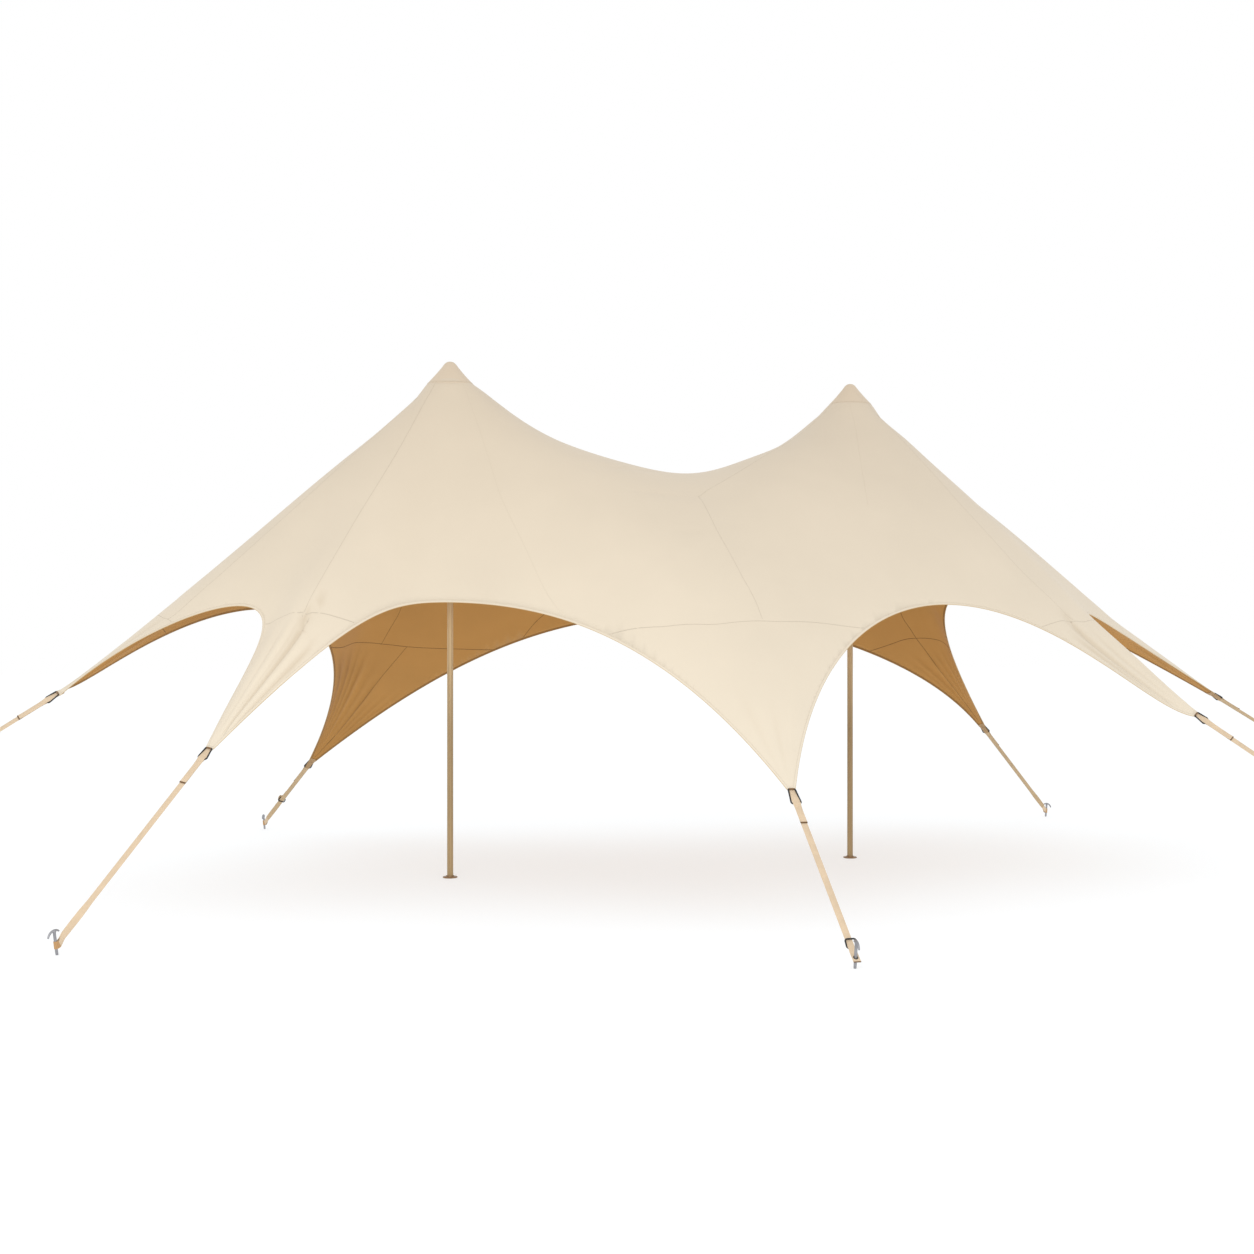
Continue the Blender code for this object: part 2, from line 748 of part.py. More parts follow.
def rectangle(centre, wide, thick, half_wide, low, high):
    return [
        centre - wide * half_wide + thick * low,
        centre + wide * half_wide + thick * low,
        centre + wide * half_wide + thick * high,
        centre - wide * half_wide + thick * high,
    ]


def pierced_sections(name):
    corner, along, across, up, length, target = strap_frame(name)
    half = STRAP_THICK / 2
    start = RING_ENDS[name] + RING_WIRE + RING_ROOM
    sections = []
    for place, high in ((start, TAIL_THICK - half), (TAIL_END, TAIL_THICK - half),
                        (TAIL_END + 0.0005, half), (length - FLAP_BACK - 0.0005, half),
                        (length - FLAP_BACK, TAIL_THICK - half), (length + FLAP_END, TAIL_THICK - half)):
        sections.append(rectangle(corner + along * place, across, up, STRAP_HALF, -half, high))
    return sections


def strap_sections(name):
    corner, along, across, up, length, target = strap_frame(name)
    foot, lean = peg_axis(name)
    shaft = lean / np.linalg.norm(lean)
    half = STRAP_THICK / 2
    plain_end = length - TWIST_LENGTH
    out, side = peg_plan(name)
    first, last = ROLLS[name]
    sign = 1.0 if last > 0 else -1.0
    start = RING_ENDS[name] + RING_WIRE + RING_ROOM
    sections = []
    for place, high in ((start, TAIL_THICK - half), (TAIL_END, TAIL_THICK - half),
                        (TAIL_END + 0.0005, half), (plain_end, half)):
        sections.append(rectangle(corner + along * place, across, up, STRAP_HALF, -half, high))
    steps = 7
    way = along - shaft * (along @ shaft)
    way = way / np.linalg.norm(way)
    last_centre = target - way * 0.0122
    for k in range(1, steps + 1):
        amount = k / steps
        turn = amount * math.radians(last - first)
        place = plain_end + (length - plain_end - 0.045) * amount
        centre = corner + along * place
        wide = across * math.cos(turn) + up * math.sin(turn)
        thick = up * math.cos(turn) - across * math.sin(turn)
        sections.append(rectangle(centre, wide, thick, STRAP_HALF - 0.002 * amount, -half, half))
    sections.append(rectangle(last_centre, shaft * sign, side * -sign, 0.0165, -half, half))
    return sections


def make_pierced_strap(group, tools, name, mat):
    points, faces = loft(pierced_sections(name))
    strap = add_mesh(group, "strap_" + name, points, faces, mat)
    foot, lean = peg_axis(name)
    shaft = lean / np.linalg.norm(lean)
    corner, along, across, up, length, target = strap_frame(name)
    front = np.cross(shaft, across)
    sections = []
    for level in (-0.05, 0.05):
        ring = []
        for k in range(16):
            a = 2 * math.pi * k / 16
            ring.append(target + shaft * level + across * (LOOP_INNER * math.cos(a))
                        + front * (LOOP_INNER * math.sin(a)))
        sections.append(ring)
    points, faces = loft(sections)
    hole = add_mesh(tools, "hole_" + name, points, faces, mat)
    hole.hide_render = True
    hole.display_type = "WIRE"
    cut = strap.modifiers.new("hole", "BOOLEAN")
    cut.operation = "DIFFERENCE"
    cut.solver = "EXACT"
    cut.object = hole


def make_strap(group, tools, name, mat):
    points, faces = loft(strap_sections(name))
    strap = add_mesh(group, "strap_" + name, points, faces, mat)
    foot, lean = peg_axis(name)
    shaft = lean / np.linalg.norm(lean)
    corner, along, across, up, length, target = strap_frame(name)
    out, side = peg_plan(name)
    front = np.cross(shaft, side)
    rings = []
    segments = 16
    for radius, level in ((LOOP_INNER, -1), (LOOP_OUTER, -1), (LOOP_OUTER, 1), (LOOP_INNER, 1)):
        ring = []
        for k in range(segments):
            a = 2 * math.pi * k / segments
            ring.append(target + shaft * (LOOP_HALF * level)
                        + side * (radius * math.cos(a)) + front * (radius * math.sin(a)))
        rings.append(ring)
    band_points = [p for ring in rings for p in ring]
    band_faces = []
    for r in range(4):
        for k in range(segments):
            a = r * segments + k
            b = r * segments + (k + 1) % segments
            c = ((r + 1) % 4) * segments + (k + 1) % segments
            d = ((r + 1) % 4) * segments + k
            band_faces.append((a, b, c, d))
    band = add_mesh(tools, "loop_" + name, band_points, band_faces, mat)
    band.hide_render = True
    band.display_type = "WIRE"
    join = strap.modifiers.new("loop", "BOOLEAN")
    join.operation = "UNION"
    join.solver = "EXACT"
    join.object = band


def ring_path(centre, wide, long, halves, half_long, corners, parts):
    path = []
    for quarter in range(4):
        sx = (1, -1, -1, 1)[quarter]
        sy = (1, 1, -1, -1)[quarter]
        half_wide = halves[1] if sy > 0 else halves[0]
        corner_radius = corners[1] if sy > 0 else corners[0]
        for k in range(parts + 1):
            a = math.pi / 2 * (quarter + k / parts)
            x = sx * (half_wide - corner_radius) + corner_radius * math.cos(a)
            y = sy * (half_long - corner_radius) + corner_radius * math.sin(a)
            path.append(centre + wide * x + long * y)
    return path


def tube_ring(path, normal, radius, sides):
    points = []
    count = len(path)
    for i in range(count):
        tangent = path[(i + 1) % count] - path[i - 1]
        tangent = tangent / np.linalg.norm(tangent)
        outward = np.cross(tangent, normal)
        outward = outward / np.linalg.norm(outward)
        for k in range(sides):
            a = 2 * math.pi * (k + 0.5) / sides
            points.append(path[i] + outward * (radius * math.cos(a)) + normal * (radius * math.sin(a)))
    faces = []
    for i in range(count):
        following = (i + 1) % count
        for k in range(sides):
            a = i * sides + k
            b = i * sides + (k + 1) % sides
            faces.append((a, b, following * sides + (k + 1) % sides, following * sides + k))
    return points, faces


def make_ring(group, label, name, first, last, halves, corners, mat):
    corner, along, across, up, length, target = strap_frame(name)
    start = corner + along * first[0] + up * first[1]
    end = corner + along * last[0] + up * last[1]
    run = end - start
    half_long = np.linalg.norm(run) / 2
    long = run / (2 * half_long)
    normal = np.cross(long, across)
    path = ring_path((start + end) / 2, across, long, halves, half_long, corners, 3)
    points, faces = tube_ring(path, normal, RING_WIRE, 8)
    add_mesh(group, label, points, faces, mat)


def make_rings(group, mat):
    for name in ARM_NAMES:
        make_ring(group, "ring_" + name, name, (RING_TOP, RING_RISE), (RING_ENDS[name], 0.0),
                  RING_HALVES, RING_CORNERS, mat)
    middle = strap_frame("front")[4] - PEG_RING_BACK
    make_ring(group, "ring_front_peg", "front", (middle - PEG_RING_HALF_LONG, THREAD_RISE),
              (middle + PEG_RING_HALF_LONG, -THREAD_RISE), (PEG_RING_HALF_WIDE,) * 2, (0.014, 0.014), mat)
    middle = strap_frame("back_left")[4] * SLIDER_SHARE
    make_ring(group, "slider_back_left", "back_left", (middle - SLIDER_HALF_LONG, THREAD_RISE),
              (middle + SLIDER_HALF_LONG, -THREAD_RISE), (SLIDER_HALF_WIDE,) * 2, (0.010, 0.010), mat)


def handle_frame(name):
    out, side = peg_plan(name)
    foot, lean = peg_axis(name)
    shaft = lean / np.linalg.norm(lean)
    turn = math.radians(PEGS[name][2])
    reach = out * math.cos(turn) + side * math.sin(turn)
    reach = reach - shaft * (reach @ shaft)
    reach = reach / np.linalg.norm(reach)
    return foot + lean - shaft * HANDLE_RADIUS, shaft, reach


def make_peg(group, name, mat):
    foot, lean = peg_axis(name)
    segments = 12
    sections = []
    height = PEGS[name][1]
    for level, radius in ((0.0, 0.0065), (0.012, SHAFT_RADIUS), (height - 0.004, SHAFT_RADIUS)):
        centre = foot + lean * (level / height)
        ring = []
        for k in range(segments):
            a = 2 * math.pi * k / segments
            ring.append(centre + np.array((radius * math.cos(a), radius * math.sin(a), 0.0)))
        sections.append(ring)
    points, faces = loft(sections)
    peg = add_mesh(group, "peg_" + name, points, faces, mat)
    hub, shaft, reach = handle_frame(name)
    front = np.cross(reach, shaft)
    bar = []
    steps = 12
    for i in range(steps + 1):
        amount = -1.0 + 2.0 * i / steps
        a = math.radians(HANDLE_START + (HANDLE_END - HANDLE_START) * i / steps)
        outward = reach * math.sin(a) + shaft * math.cos(a)
        centre = hub + outward * HANDLE_RADIUS
        wire = HANDLE_WIRE * (1.0 - 0.35 * abs(amount) ** 3)
        ring = []
        for k in range(8):
            b = 2 * math.pi * (k + 0.5) / 8
            ring.append(centre + outward * (wire * math.cos(b)) + front * (wire * math.sin(b)))
        bar.append(ring)
    points, faces = loft(bar)
    handle = bpy.data.objects.new("handle_" + name, bpy.data.meshes.new("handle_" + name))
    handle.data.from_pydata([tuple(map(float, p)) for p in points], [], faces)
    return peg, handle


def join_handle(tools, peg, handle):
    shape = bmesh.new()
    shape.from_mesh(handle.data)
    bmesh.ops.recalc_face_normals(shape, faces=shape.faces)
    shape.to_mesh(handle.data)
    shape.free()
    tools.objects.link(handle)
    handle.hide_render = True
    handle.display_type = "WIRE"
    join = peg.modifiers.new("handle", "BOOLEAN")
    join.operation = "UNION"
    join.solver = "EXACT"
    join.object = handle


def main():
    clear_scene()
    group = make_collection("stretch_tent")
    tools = make_collection("cutters")
    fabric = make_material("canopy_fabric", (0.86, 0.76, 0.60), 0.85, 0.0)
    webbing = make_material("strap_webbing", (0.80, 0.67, 0.46), 0.80, 0.0)
    bronze = make_material("pole_bronze", (0.45, 0.34, 0.20), 0.38, 0.85)
    black = make_material("ring_black", (0.02, 0.02, 0.02), 0.45, 0.3)
    steel = make_material("peg_steel", (0.62, 0.62, 0.64), 0.32, 0.95)
    make_canopy(group, fabric)
    for label, centre_x in zip(("left", "right"), POLE_X):
        make_cap(group, "cap_" + label, centre_x, fabric)
        make_pole(group, "pole_" + label, centre_x, bronze)
        make_foot(group, "foot_" + label, centre_x, bronze)
    make_rings(group, black)
    for name in ARM_NAMES:
        if name == "front":
            make_pierced_strap(group, tools, name, webbing)
        else:
            make_strap(group, tools, name, webbing)
        peg, handle = make_peg(group, name, steel)
        join_handle(tools, peg, handle)
    for item in list(group.objects) + list(tools.objects):
        item.location.y += SET_BACK


main()
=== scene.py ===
# Stretch tent: its dressed canopy, webbing, rings, pegs and poles. Metres, +Z up.
# Places are measured from the line of the two poles. The whole is set back by SET_BACK, so that the origin
# lies under the middle of the footprint.
import math

import bmesh
import bpy
import numpy as np
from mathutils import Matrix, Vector
from mathutils.bvhtree import BVHTree
from mathutils.geometry import delaunay_2d_cdt
from mathutils.kdtree import KDTree


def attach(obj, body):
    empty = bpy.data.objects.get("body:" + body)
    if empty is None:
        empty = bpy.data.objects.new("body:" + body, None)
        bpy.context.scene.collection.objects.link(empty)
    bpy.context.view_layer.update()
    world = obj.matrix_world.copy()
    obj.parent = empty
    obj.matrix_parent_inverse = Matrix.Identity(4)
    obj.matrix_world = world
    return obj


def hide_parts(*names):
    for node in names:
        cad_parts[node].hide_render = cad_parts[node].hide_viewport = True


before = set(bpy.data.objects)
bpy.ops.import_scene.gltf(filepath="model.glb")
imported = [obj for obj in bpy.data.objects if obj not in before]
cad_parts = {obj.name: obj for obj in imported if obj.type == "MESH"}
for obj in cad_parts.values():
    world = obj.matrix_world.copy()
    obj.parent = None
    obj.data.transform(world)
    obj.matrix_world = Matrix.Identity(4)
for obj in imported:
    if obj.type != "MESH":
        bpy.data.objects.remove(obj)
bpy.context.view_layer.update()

# Sizes shared with the solids
SET_BACK = 0.191
POLE_X = (-2.027, 1.055)
CAP_RADIUS = 0.15
CAP_SEAM_Z = 3.447
ARMS = {
    "left": ((-6.534, 0.0), (-4.591, 0.0, 1.317), 0.75),
    "front_left": ((-4.54, -1.753), (-3.711, -1.175, 1.024), 0.75),
    "front": ((-0.583, -3.373), (-0.558, -2.498, 0.808), 0.9),
    "front_right": ((3.996, -2.754), (2.858, -1.688, 1.145), 0.87),
    "right": ((6.534, 0.0), (4.36, 0.0, 1.204), 1.0),
    "back_right": ((4.19, 2.153), (3.083, 1.469, 0.881), 1.0),
    "back_left": ((-2.992, 3.388), (-2.674, 2.594, 0.629), 1.1),
}
ARM_NAMES = tuple(ARMS)
PEGS = {
    "left": ((-6.534, 0.0), 0.13, 0.0),
    "front_left": ((-4.534, -1.928), 0.133, 0.0),
    "front": ((-0.675, -3.544), 0.143, 0.0),
    "front_right": ((3.996, -2.754), 0.13, 0.0),
    "right": ((6.534, 0.0), 0.13, 0.0),
    "back_right": ((3.991, 1.855), 0.119, -30.0),
    "back_left": ((-3.014, 3.168), 0.121, -20.0),
}
ROLLS = {
    "left": (-40.0, -90.0),
    "front_left": (-15.0, -90.0),
    "front": (0.0, 0.0),
    "front_right": (45.0, 90.0),
    "right": (-25.0, -90.0),
    "back_right": (-20.0, -90.0),
    "back_left": (25.0, 90.0),
}
ARCHES = (
    ((26.6, 0.83, 0.85), (-2.93, -0.51, 2.08), (23.5, 0.98, 0.73)),
    ((18.7, 0.92, 1.73), (-2.75, -0.48, 1.24), (30.3, 0.95, 1.98)),
    ((29.0, 0.93, 1.54), (1.59, -1.37, 2.32), (25.6, 0.18, 0.45)),
    ((20.1, 0.71, 0.43), (2.33, -0.69, 2.11), (8.0, 0.48, 1.75)),
    ((18.6, 0.57, 1.52), (1.72, 0.68, 2.57), (8.5, 0.68, 1.19)),
    ((18.8, 0.93, 1.06), (-0.06, 0.97, 1.91), (33.7, 0.73, 2.31)),
    ((4.2, 0.91, 1.84), (-3.7, 0.35, 2.19), (19.5, -0.05, 0.27)),
)
CROSS_PULL = 0.08
CROSS_REACH = 0.8
SADDLE_EASE = 0.95
SADDLE_CROSS = 0.1
SADDLE_WIDTH = 1.1
CORNER_HALF = 0.026
RING_WIRE = 0.0044
RING_CORNERS = (0.008, 0.014)
RING_HALVES = (0.0212, 0.0294)
RING_TOP = 0.0065
RING_RISE = 0.0064
RING_ENDS = {name: 0.126 if name == "front" else 0.09 for name in ARM_NAMES}
TAIL_END = 0.29
TWIST_LENGTH = 0.3
THREAD_RISE = 0.0056
PEG_RING_BACK = 0.1
PEG_RING_HALF_LONG = 0.0275
PEG_RING_HALF_WIDE = 0.0325
SLIDER_SHARE = 0.622
SLIDER_HALF_LONG = 0.015
SLIDER_HALF_WIDE = 0.027
FLAP_BACK = 0.045
FLAP_END = 0.032
LOOP_HEIGHT = 0.054
SHAFT_RADIUS = 0.008
PEG_SLOPE = 0.147
HANDLE_RADIUS = 0.045
HANDLE_START = -45.0
HANDLE_END = 75.0
HANDLE_WIRE = 0.0062
POLE_RADIUS = 0.0212
POLE_BOTTOM = 0.0083
HEAD_RADIUS = 0.035
HEAD_BASE_Z = 3.5
HEAD_TOP_Z = 3.5957
FOOT_RADIUS = 0.051
FOOT_THICK = 0.008
SOCKET_RADIUS = 0.0275
SOCKET_HEIGHT = 0.016

# Swells of the sheet: (x, y, radius, height)
SWELLS = (
    (-3.0, 0.0, 0.55, 0.02), (-2.47, 0.0, 0.22, -0.022), (-1.35, -0.2, 0.4, -0.02),
    (-0.65, -0.3, 0.5, 0.056), (0.1, 0.0, 0.4, -0.011), (0.55, 0.0, 0.35, -0.053),
    (2.46, -1.16, 0.26, -0.026), (1.35, -0.12, 0.3, -0.013), (1.85, -0.15, 0.4, -0.034),
    (2.9, -0.08, 0.4, -0.009), (3.5, -0.05, 0.4, -0.049), (-2.26, 0.0, 0.13, -0.03),
    (-1.78, -0.06, 0.16, 0.008), (0.82, 0.0, 0.13, 0.002), (1.27, -0.11, 0.13, -0.036),
    (1.62, -0.13, 0.2, -0.024),
)
SWELL_EDGE = 0.3
SWELL_CAP = 0.1

# Sizes of the dressed canopy and of its mesh
SHEET_HALF = 0.001
MESH_STEP = 0.04
EDGE_STEP = 0.03
EDGE_FIRST = 0.006
EDGE_GROWTH = 0.03
EDGE_FINE = 1601
EDGE_ROWS = (0.022, 0.048, 0.08, 0.116)
ARM_COLUMNS = 36
ARM_REACH = 1.35
ARM_STOP = 0.96
ARM_ROW = 1.5
ROW_RATIO = 0.866
CORNER_NOSE = 0.002
CORNER_SHARES = (-0.66, -0.33, 0.0, 0.33, 0.66)
SEAM_STEP = 0.03
SEAM_SIDE = 0.018
FAR = 9.0


# Vectors, lines and rows of points

def unit(vector):
    return vector / np.linalg.norm(vector)


def units(rows):
    return rows / np.linalg.norm(rows, axis=1)[:, None]


def tangents(path):
    return units(np.gradient(path, axis=0))


def path_length(path):
    return np.concatenate(((0.0,), np.cumsum(np.linalg.norm(np.diff(path, axis=0), axis=1))))


def at_lengths(path, places):
    lengths = path_length(path)
    return np.stack([np.interp(places, lengths, path[:, i]) for i in range(path.shape[1])], -1)


def smoothed(rows, times):
    for _ in range(times):
        rows[1:-1] = 0.25 * rows[:-2] + 0.5 * rows[1:-1] + 0.25 * rows[2:]
    return rows


def circle(count):
    return np.linspace(0, 2 * math.pi, count, endpoint=False)


def round_row(centre, first, second, wide, tall, count):
    return [centre + first * (wide * math.cos(a)) + second * (tall * math.sin(a)) for a in circle(count)]


def segment_gap(points, start, end):
    run = end - start
    amount = np.clip(((points - start) @ run) / max(run @ run, 1e-12), 0.0, 1.0)
    return np.linalg.norm(points - (start + amount[:, None] * run), axis=1), amount


# Arm directions and edge curves

def arm_plan(name):
    place, corner, _ = ARMS[name]
    out = unit(np.array(place) - np.array(corner[:2]))
    return np.array(corner), out, np.array((-out[1], out[0]))


def peg_plan(name):
    out = unit(np.array((*PEGS[name][0], 0.0)) - np.array((*ARMS[name][1][:2], 0.0)))
    return out, np.array((-out[1], out[0], 0.0))


def peg_axis(name):
    place, height, _ = PEGS[name]
    return np.array((*place, 0.0)), peg_plan(name)[0] * (PEG_SLOPE * height) + np.array((0.0, 0.0, height))


class Strap:
    """The straight run from a corner to its peg, with the ways along, across and up from the webbing."""

    def __init__(self, name):
        self.name = name
        self.corner = np.array(ARMS[name][1])
        foot, lean = peg_axis(name)
        self.target = foot + lean * (LOOP_HEIGHT / PEGS[name][1])
        run = self.target - self.corner
        self.length = np.linalg.norm(run)
        self.along = run / self.length
        side = peg_plan(name)[1]
        rise = np.cross(self.along, side)
        if rise[2] < 0:
            rise = -rise
        roll = math.radians(ROLLS[name][0])
        self.across = side * math.cos(roll) + rise * math.sin(roll)
        self.up = rise * math.cos(roll) - side * math.sin(roll)

    def spot(self, far, high=0.0, beside=0.0):
        return self.corner + self.along * far + self.up * high + self.across * beside


def arch_end(name, sign, turn, climb, reach):
    """The end of a free edge at a corner, and the control point that it heads for."""
    corner, out, side = arm_plan(name)
    point = corner + Strap(name).across * (sign * CORNER_HALF)
    turn = math.radians(turn)
    way = -out * math.cos(turn) + side * (sign * math.sin(turn))
    return point, point + reach * np.array((*way, climb))


def arch_controls(index):
    start, middle, end = ARCHES[index]
    first = arch_end(ARM_NAMES[index], 1, *start)
    last = arch_end(ARM_NAMES[(index + 1) % len(ARM_NAMES)], -1, *end)
    return np.array((*first, middle, *last[::-1]))


def curve_points(controls, amounts):
    amounts = np.asarray(amounts)[:, None]
    top = len(controls) - 1
    total = 0.0
    for i in range(top + 1):
        total = total + math.comb(top, i) * (1 - amounts) ** (top - i) * amounts ** i * controls[i]
    return total


def arch_line(index):
    fine = curve_points(arch_controls(index), np.linspace(0.0, 1.0, EDGE_FINE))
    total = path_length(fine)[-1]
    places = [0.0]
    while places[-1] < total / 2:
        places.append(places[-1] + min(EDGE_STEP, EDGE_FIRST + EDGE_GROWTH * places[-1]))
    half = np.array(places) * (total / 2 / places[-1])
    return at_lengths(fine, np.concatenate((half, total - half[-2::-1])))


class ArmGrid:
    """Grid of an arm: depth from its corner, and -1 to 1 from one free edge to the other."""

    def __init__(self, name):
        self.name = name
        self.neck = ARMS[name][2]
        self.corner, self.out, self.side = arm_plan(name)
        index = ARM_NAMES.index(name)
        edges = []
        for number, sign in ((index, 1), ((index - 1) % len(ARM_NAMES), -1)):
            fine = curve_points(arch_controls(number), np.linspace(0.0, 1.0, EDGE_FINE))
            if sign < 0:
                fine = fine[::-1]
            rel = fine[:, :2] - self.corner[:2]
            deep = -rel @ self.out
            lateral = rel @ self.side
            stop = int(np.argmax(np.diff(deep) <= 0)) if (np.diff(deep) <= 0).any() else len(deep) - 1
            edges.append((deep[:stop + 1], lateral[:stop + 1]))
        self.edges = edges
        self.reach = min(self.neck * ARM_REACH, edges[0][0][-1] * ARM_STOP, edges[1][0][-1] * ARM_STOP)

    def sides(self, deep):
        high = np.interp(deep, *self.edges[0])
        low = np.interp(deep, *self.edges[1])
        return low, high

    def place(self, deep, amount):
        low, high = self.sides(deep)
        lateral = 0.5 * (low + high) + 0.5 * (high - low) * amount
        return self.corner[:2] - deep[..., None] * self.out + lateral[..., None] * self.side

    def locate(self, points):
        rel = points - self.corner[:2]
        deep = -rel @ self.out
        lateral = rel @ self.side
        low, high = self.sides(deep)
        amount = (lateral - 0.5 * (low + high)) / (0.5 * (high - low))
        return deep, amount, 0.5 * (high - low)

    def points(self):
        deep = 0.0
        rows = []
        while True:
            low, high = self.sides(deep)
            deep += (high - low) / ARM_COLUMNS * ARM_ROW
            if deep > self.reach:
                break
            rows.append(deep)
        amounts = np.linspace(-1.0, 1.0, ARM_COLUMNS + 1)[1:-1]
        deep, amount = np.meshgrid(rows, amounts, indexing="ij")
        return self.place(deep.ravel(), amount.ravel())


# Flat layout of the canopy, seen from above

def inside_outline(outline, points):
    x = points[:, 0]
    y = points[:, 1]
    hit = np.zeros(len(points), bool)
    for i in range(len(outline)):
        x1, y1 = outline[i]
        x2, y2 = outline[(i + 1) % len(outline)]
        if y1 == y2:
            continue
        crosses = ((y1 > y) != (y2 > y)) & (x < (x2 - x1) * (y - y1) / (y2 - y1) + x1)
        hit ^= crosses
    return hit


def outline_points():
    points = []
    for index in range(len(ARM_NAMES)):
        following = ARM_NAMES[(index + 1) % len(ARM_NAMES)]
        points.extend(tuple(p) for p in arch_line(index))
        strap = Strap(following)
        points.extend(tuple(strap.spot(CORNER_NOSE, 0.0, CORNER_HALF * share)) for share in CORNER_SHARES)
    return np.array(points)


def cap_rings(centre_x, rim_count):
    """The rim of a cap, and rings round it that widen until their points are a mesh step apart."""
    angles = [2 * math.pi * i / rim_count for i in range(rim_count)]
    rim = [(centre_x + CAP_RADIUS * math.cos(a), CAP_RADIUS * math.sin(a)) for a in angles]
    rings = []
    radius = CAP_RADIUS
    turn = 0
    while 2 * math.pi * radius / rim_count < MESH_STEP * 1.02:
        radius += 2 * math.pi * radius / rim_count * ROW_RATIO
        turn += 1
        for i in range(rim_count):
            a = 2 * math.pi * (i + 0.5 * (turn % 2)) / rim_count
            rings.append((centre_x + radius * math.cos(a), radius * math.sin(a)))
    return rim, rings, radius


def even_grid(outline):
    """Points inside the outline at the corners of even triangles."""
    low = outline.min(axis=0)
    high = outline.max(axis=0)
    grid = []
    row = 0
    y = low[1]
    while y < high[1]:
        x = low[0] + (MESH_STEP / 2 if row % 2 else 0.0)
        while x < high[0]:
            grid.append((x, y))
            x += MESH_STEP
        y += MESH_STEP * math.sqrt(3) / 2
        row += 1
    grid = np.array(grid)
    return grid[inside_outline(outline, grid)]


def clear_of_caps(points, ring_reach, room):
    clear = np.ones(len(points), bool)
    for centre_x, radius in zip(POLE_X, ring_reach):
        clear &= np.linalg.norm(points - np.array((centre_x, 0.0)), axis=1) > radius + room
    return clear


def canopy_layout(arms):
    """The sheet in plan: its points, the heights that its edges and cap rims hold, and its triangles."""
    points = outline_points()
    outline = points[:, :2]
    flat = [tuple(p) for p in outline]
    edges = [(i, (i + 1) % len(flat)) for i in range(len(flat))]
    ring_reach = []
    rim_count = int(round(2 * math.pi * CAP_RADIUS / MESH_STEP / 8)) * 8 + 8
    for centre_x in POLE_X:
        base = len(flat)
        rim, rings, radius = cap_rings(centre_x, rim_count)
        flat.extend(rim + rings)
        edges.extend((base + i, base + (i + 1) % rim_count) for i in range(rim_count))
        ring_reach.append(radius)
    grid = even_grid(outline)
    keep = edge_gap(grid, outline) >= EDGE_ROWS[-1] + MESH_STEP * 0.6
    keep &= clear_of_caps(grid, ring_reach, 0.5 * MESH_STEP)
    seams = seam_points()
    seams = seams[inside_outline(outline, seams)]
    clear = edge_gap(seams, outline) > EDGE_ROWS[-1] + 0.6 * SEAM_STEP
    clear &= clear_of_caps(seams, ring_reach, 0.3 * SEAM_STEP)
    rows = edge_rows(outline)
    beside = np.ones(len(rows), bool)
    for arm in arms:
        for points_here, flags, extra in ((grid, keep, 0.4), (seams, clear, 0.2), (rows, beside, 0.3)):
            deep, amount, _ = arm.locate(points_here)
            flags &= ~((deep > -0.1) & (deep < arm.reach + extra * MESH_STEP) & (np.abs(amount) < 1.05))
        flat.extend(tuple(p) for p in arm.points())
    seams = spread_out(seams[clear], 0.4 * SEAM_STEP)
    tree = KDTree(len(seams))
    for i, place in enumerate(seams):
        tree.insert((*place, 0.0), i)
    tree.balance()
    keep &= np.array([tree.find((*place, 0.0))[2] > 0.62 * MESH_STEP for place in grid])
    flat.extend(tuple(p) for p in seams)
    flat.extend(tuple(p) for p in rows[beside])
    flat.extend(tuple(p) for p in grid[keep])
    result = delaunay_2d_cdt([Vector(p) for p in flat], edges, [], 0, 1e-5)
    plan = np.array([tuple(v) for v in result[0]])
    height = np.full(len(plan), np.nan)
    order = np.full(len(points), -1)
    for i, sources in enumerate(result[3]):
        for k in sources:
            if k < len(points):
                plan[i] = points[k][:2]
                height[i] = points[k][2]
                order[k] = i
    triangles = np.array([f for f in result[2] if len(f) == 3])
    centres = plan[triangles].mean(axis=1)
    good = inside_outline(outline, centres)
    rims = []
    for centre_x in POLE_X:
        centre = np.array((centre_x, 0.0))
        good &= np.linalg.norm(centres - centre, axis=1) > CAP_RADIUS * 0.985
        rim = np.abs(np.linalg.norm(plan - centre, axis=1) - CAP_RADIUS) < 1e-4
        height[rim] = CAP_SEAM_Z
        rims.append(np.flatnonzero(rim))
    triangles = triangles[good]
    first, second, third = (plan[triangles[:, i]] for i in range(3))
    area = (second - first)[:, 0] * (third - first)[:, 1] - (second - first)[:, 1] * (third - first)[:, 0]
    triangles[area < 0] = triangles[area < 0][:, ::-1]
    triangles = triangles[np.abs(area) > 1e-9]
    return plan, height, triangles, order, rims


def edge_rows(outline):
    """Rows of points beside the free edges, so that the sheet meets its hems evenly."""
    run = np.roll(outline, -1, axis=0) - np.roll(outline, 1, axis=0)
    inward = np.stack((-run[:, 1], run[:, 0]), -1) / np.linalg.norm(run, axis=1)[:, None]
    rows = np.concatenate([outline + inward * gap for gap in EDGE_ROWS])
    gaps = np.repeat(EDGE_ROWS, len(outline))
    return rows[inside_outline(outline, rows) & (edge_gap(rows, outline) > 0.9 * gaps)]


def edge_gap(points, outline):
    gap = np.full(len(points), FAR)
    for start, end in zip(outline, np.roll(outline, -1, axis=0)):
        gap = np.minimum(gap, segment_gap(points, start, end)[0])
    return gap


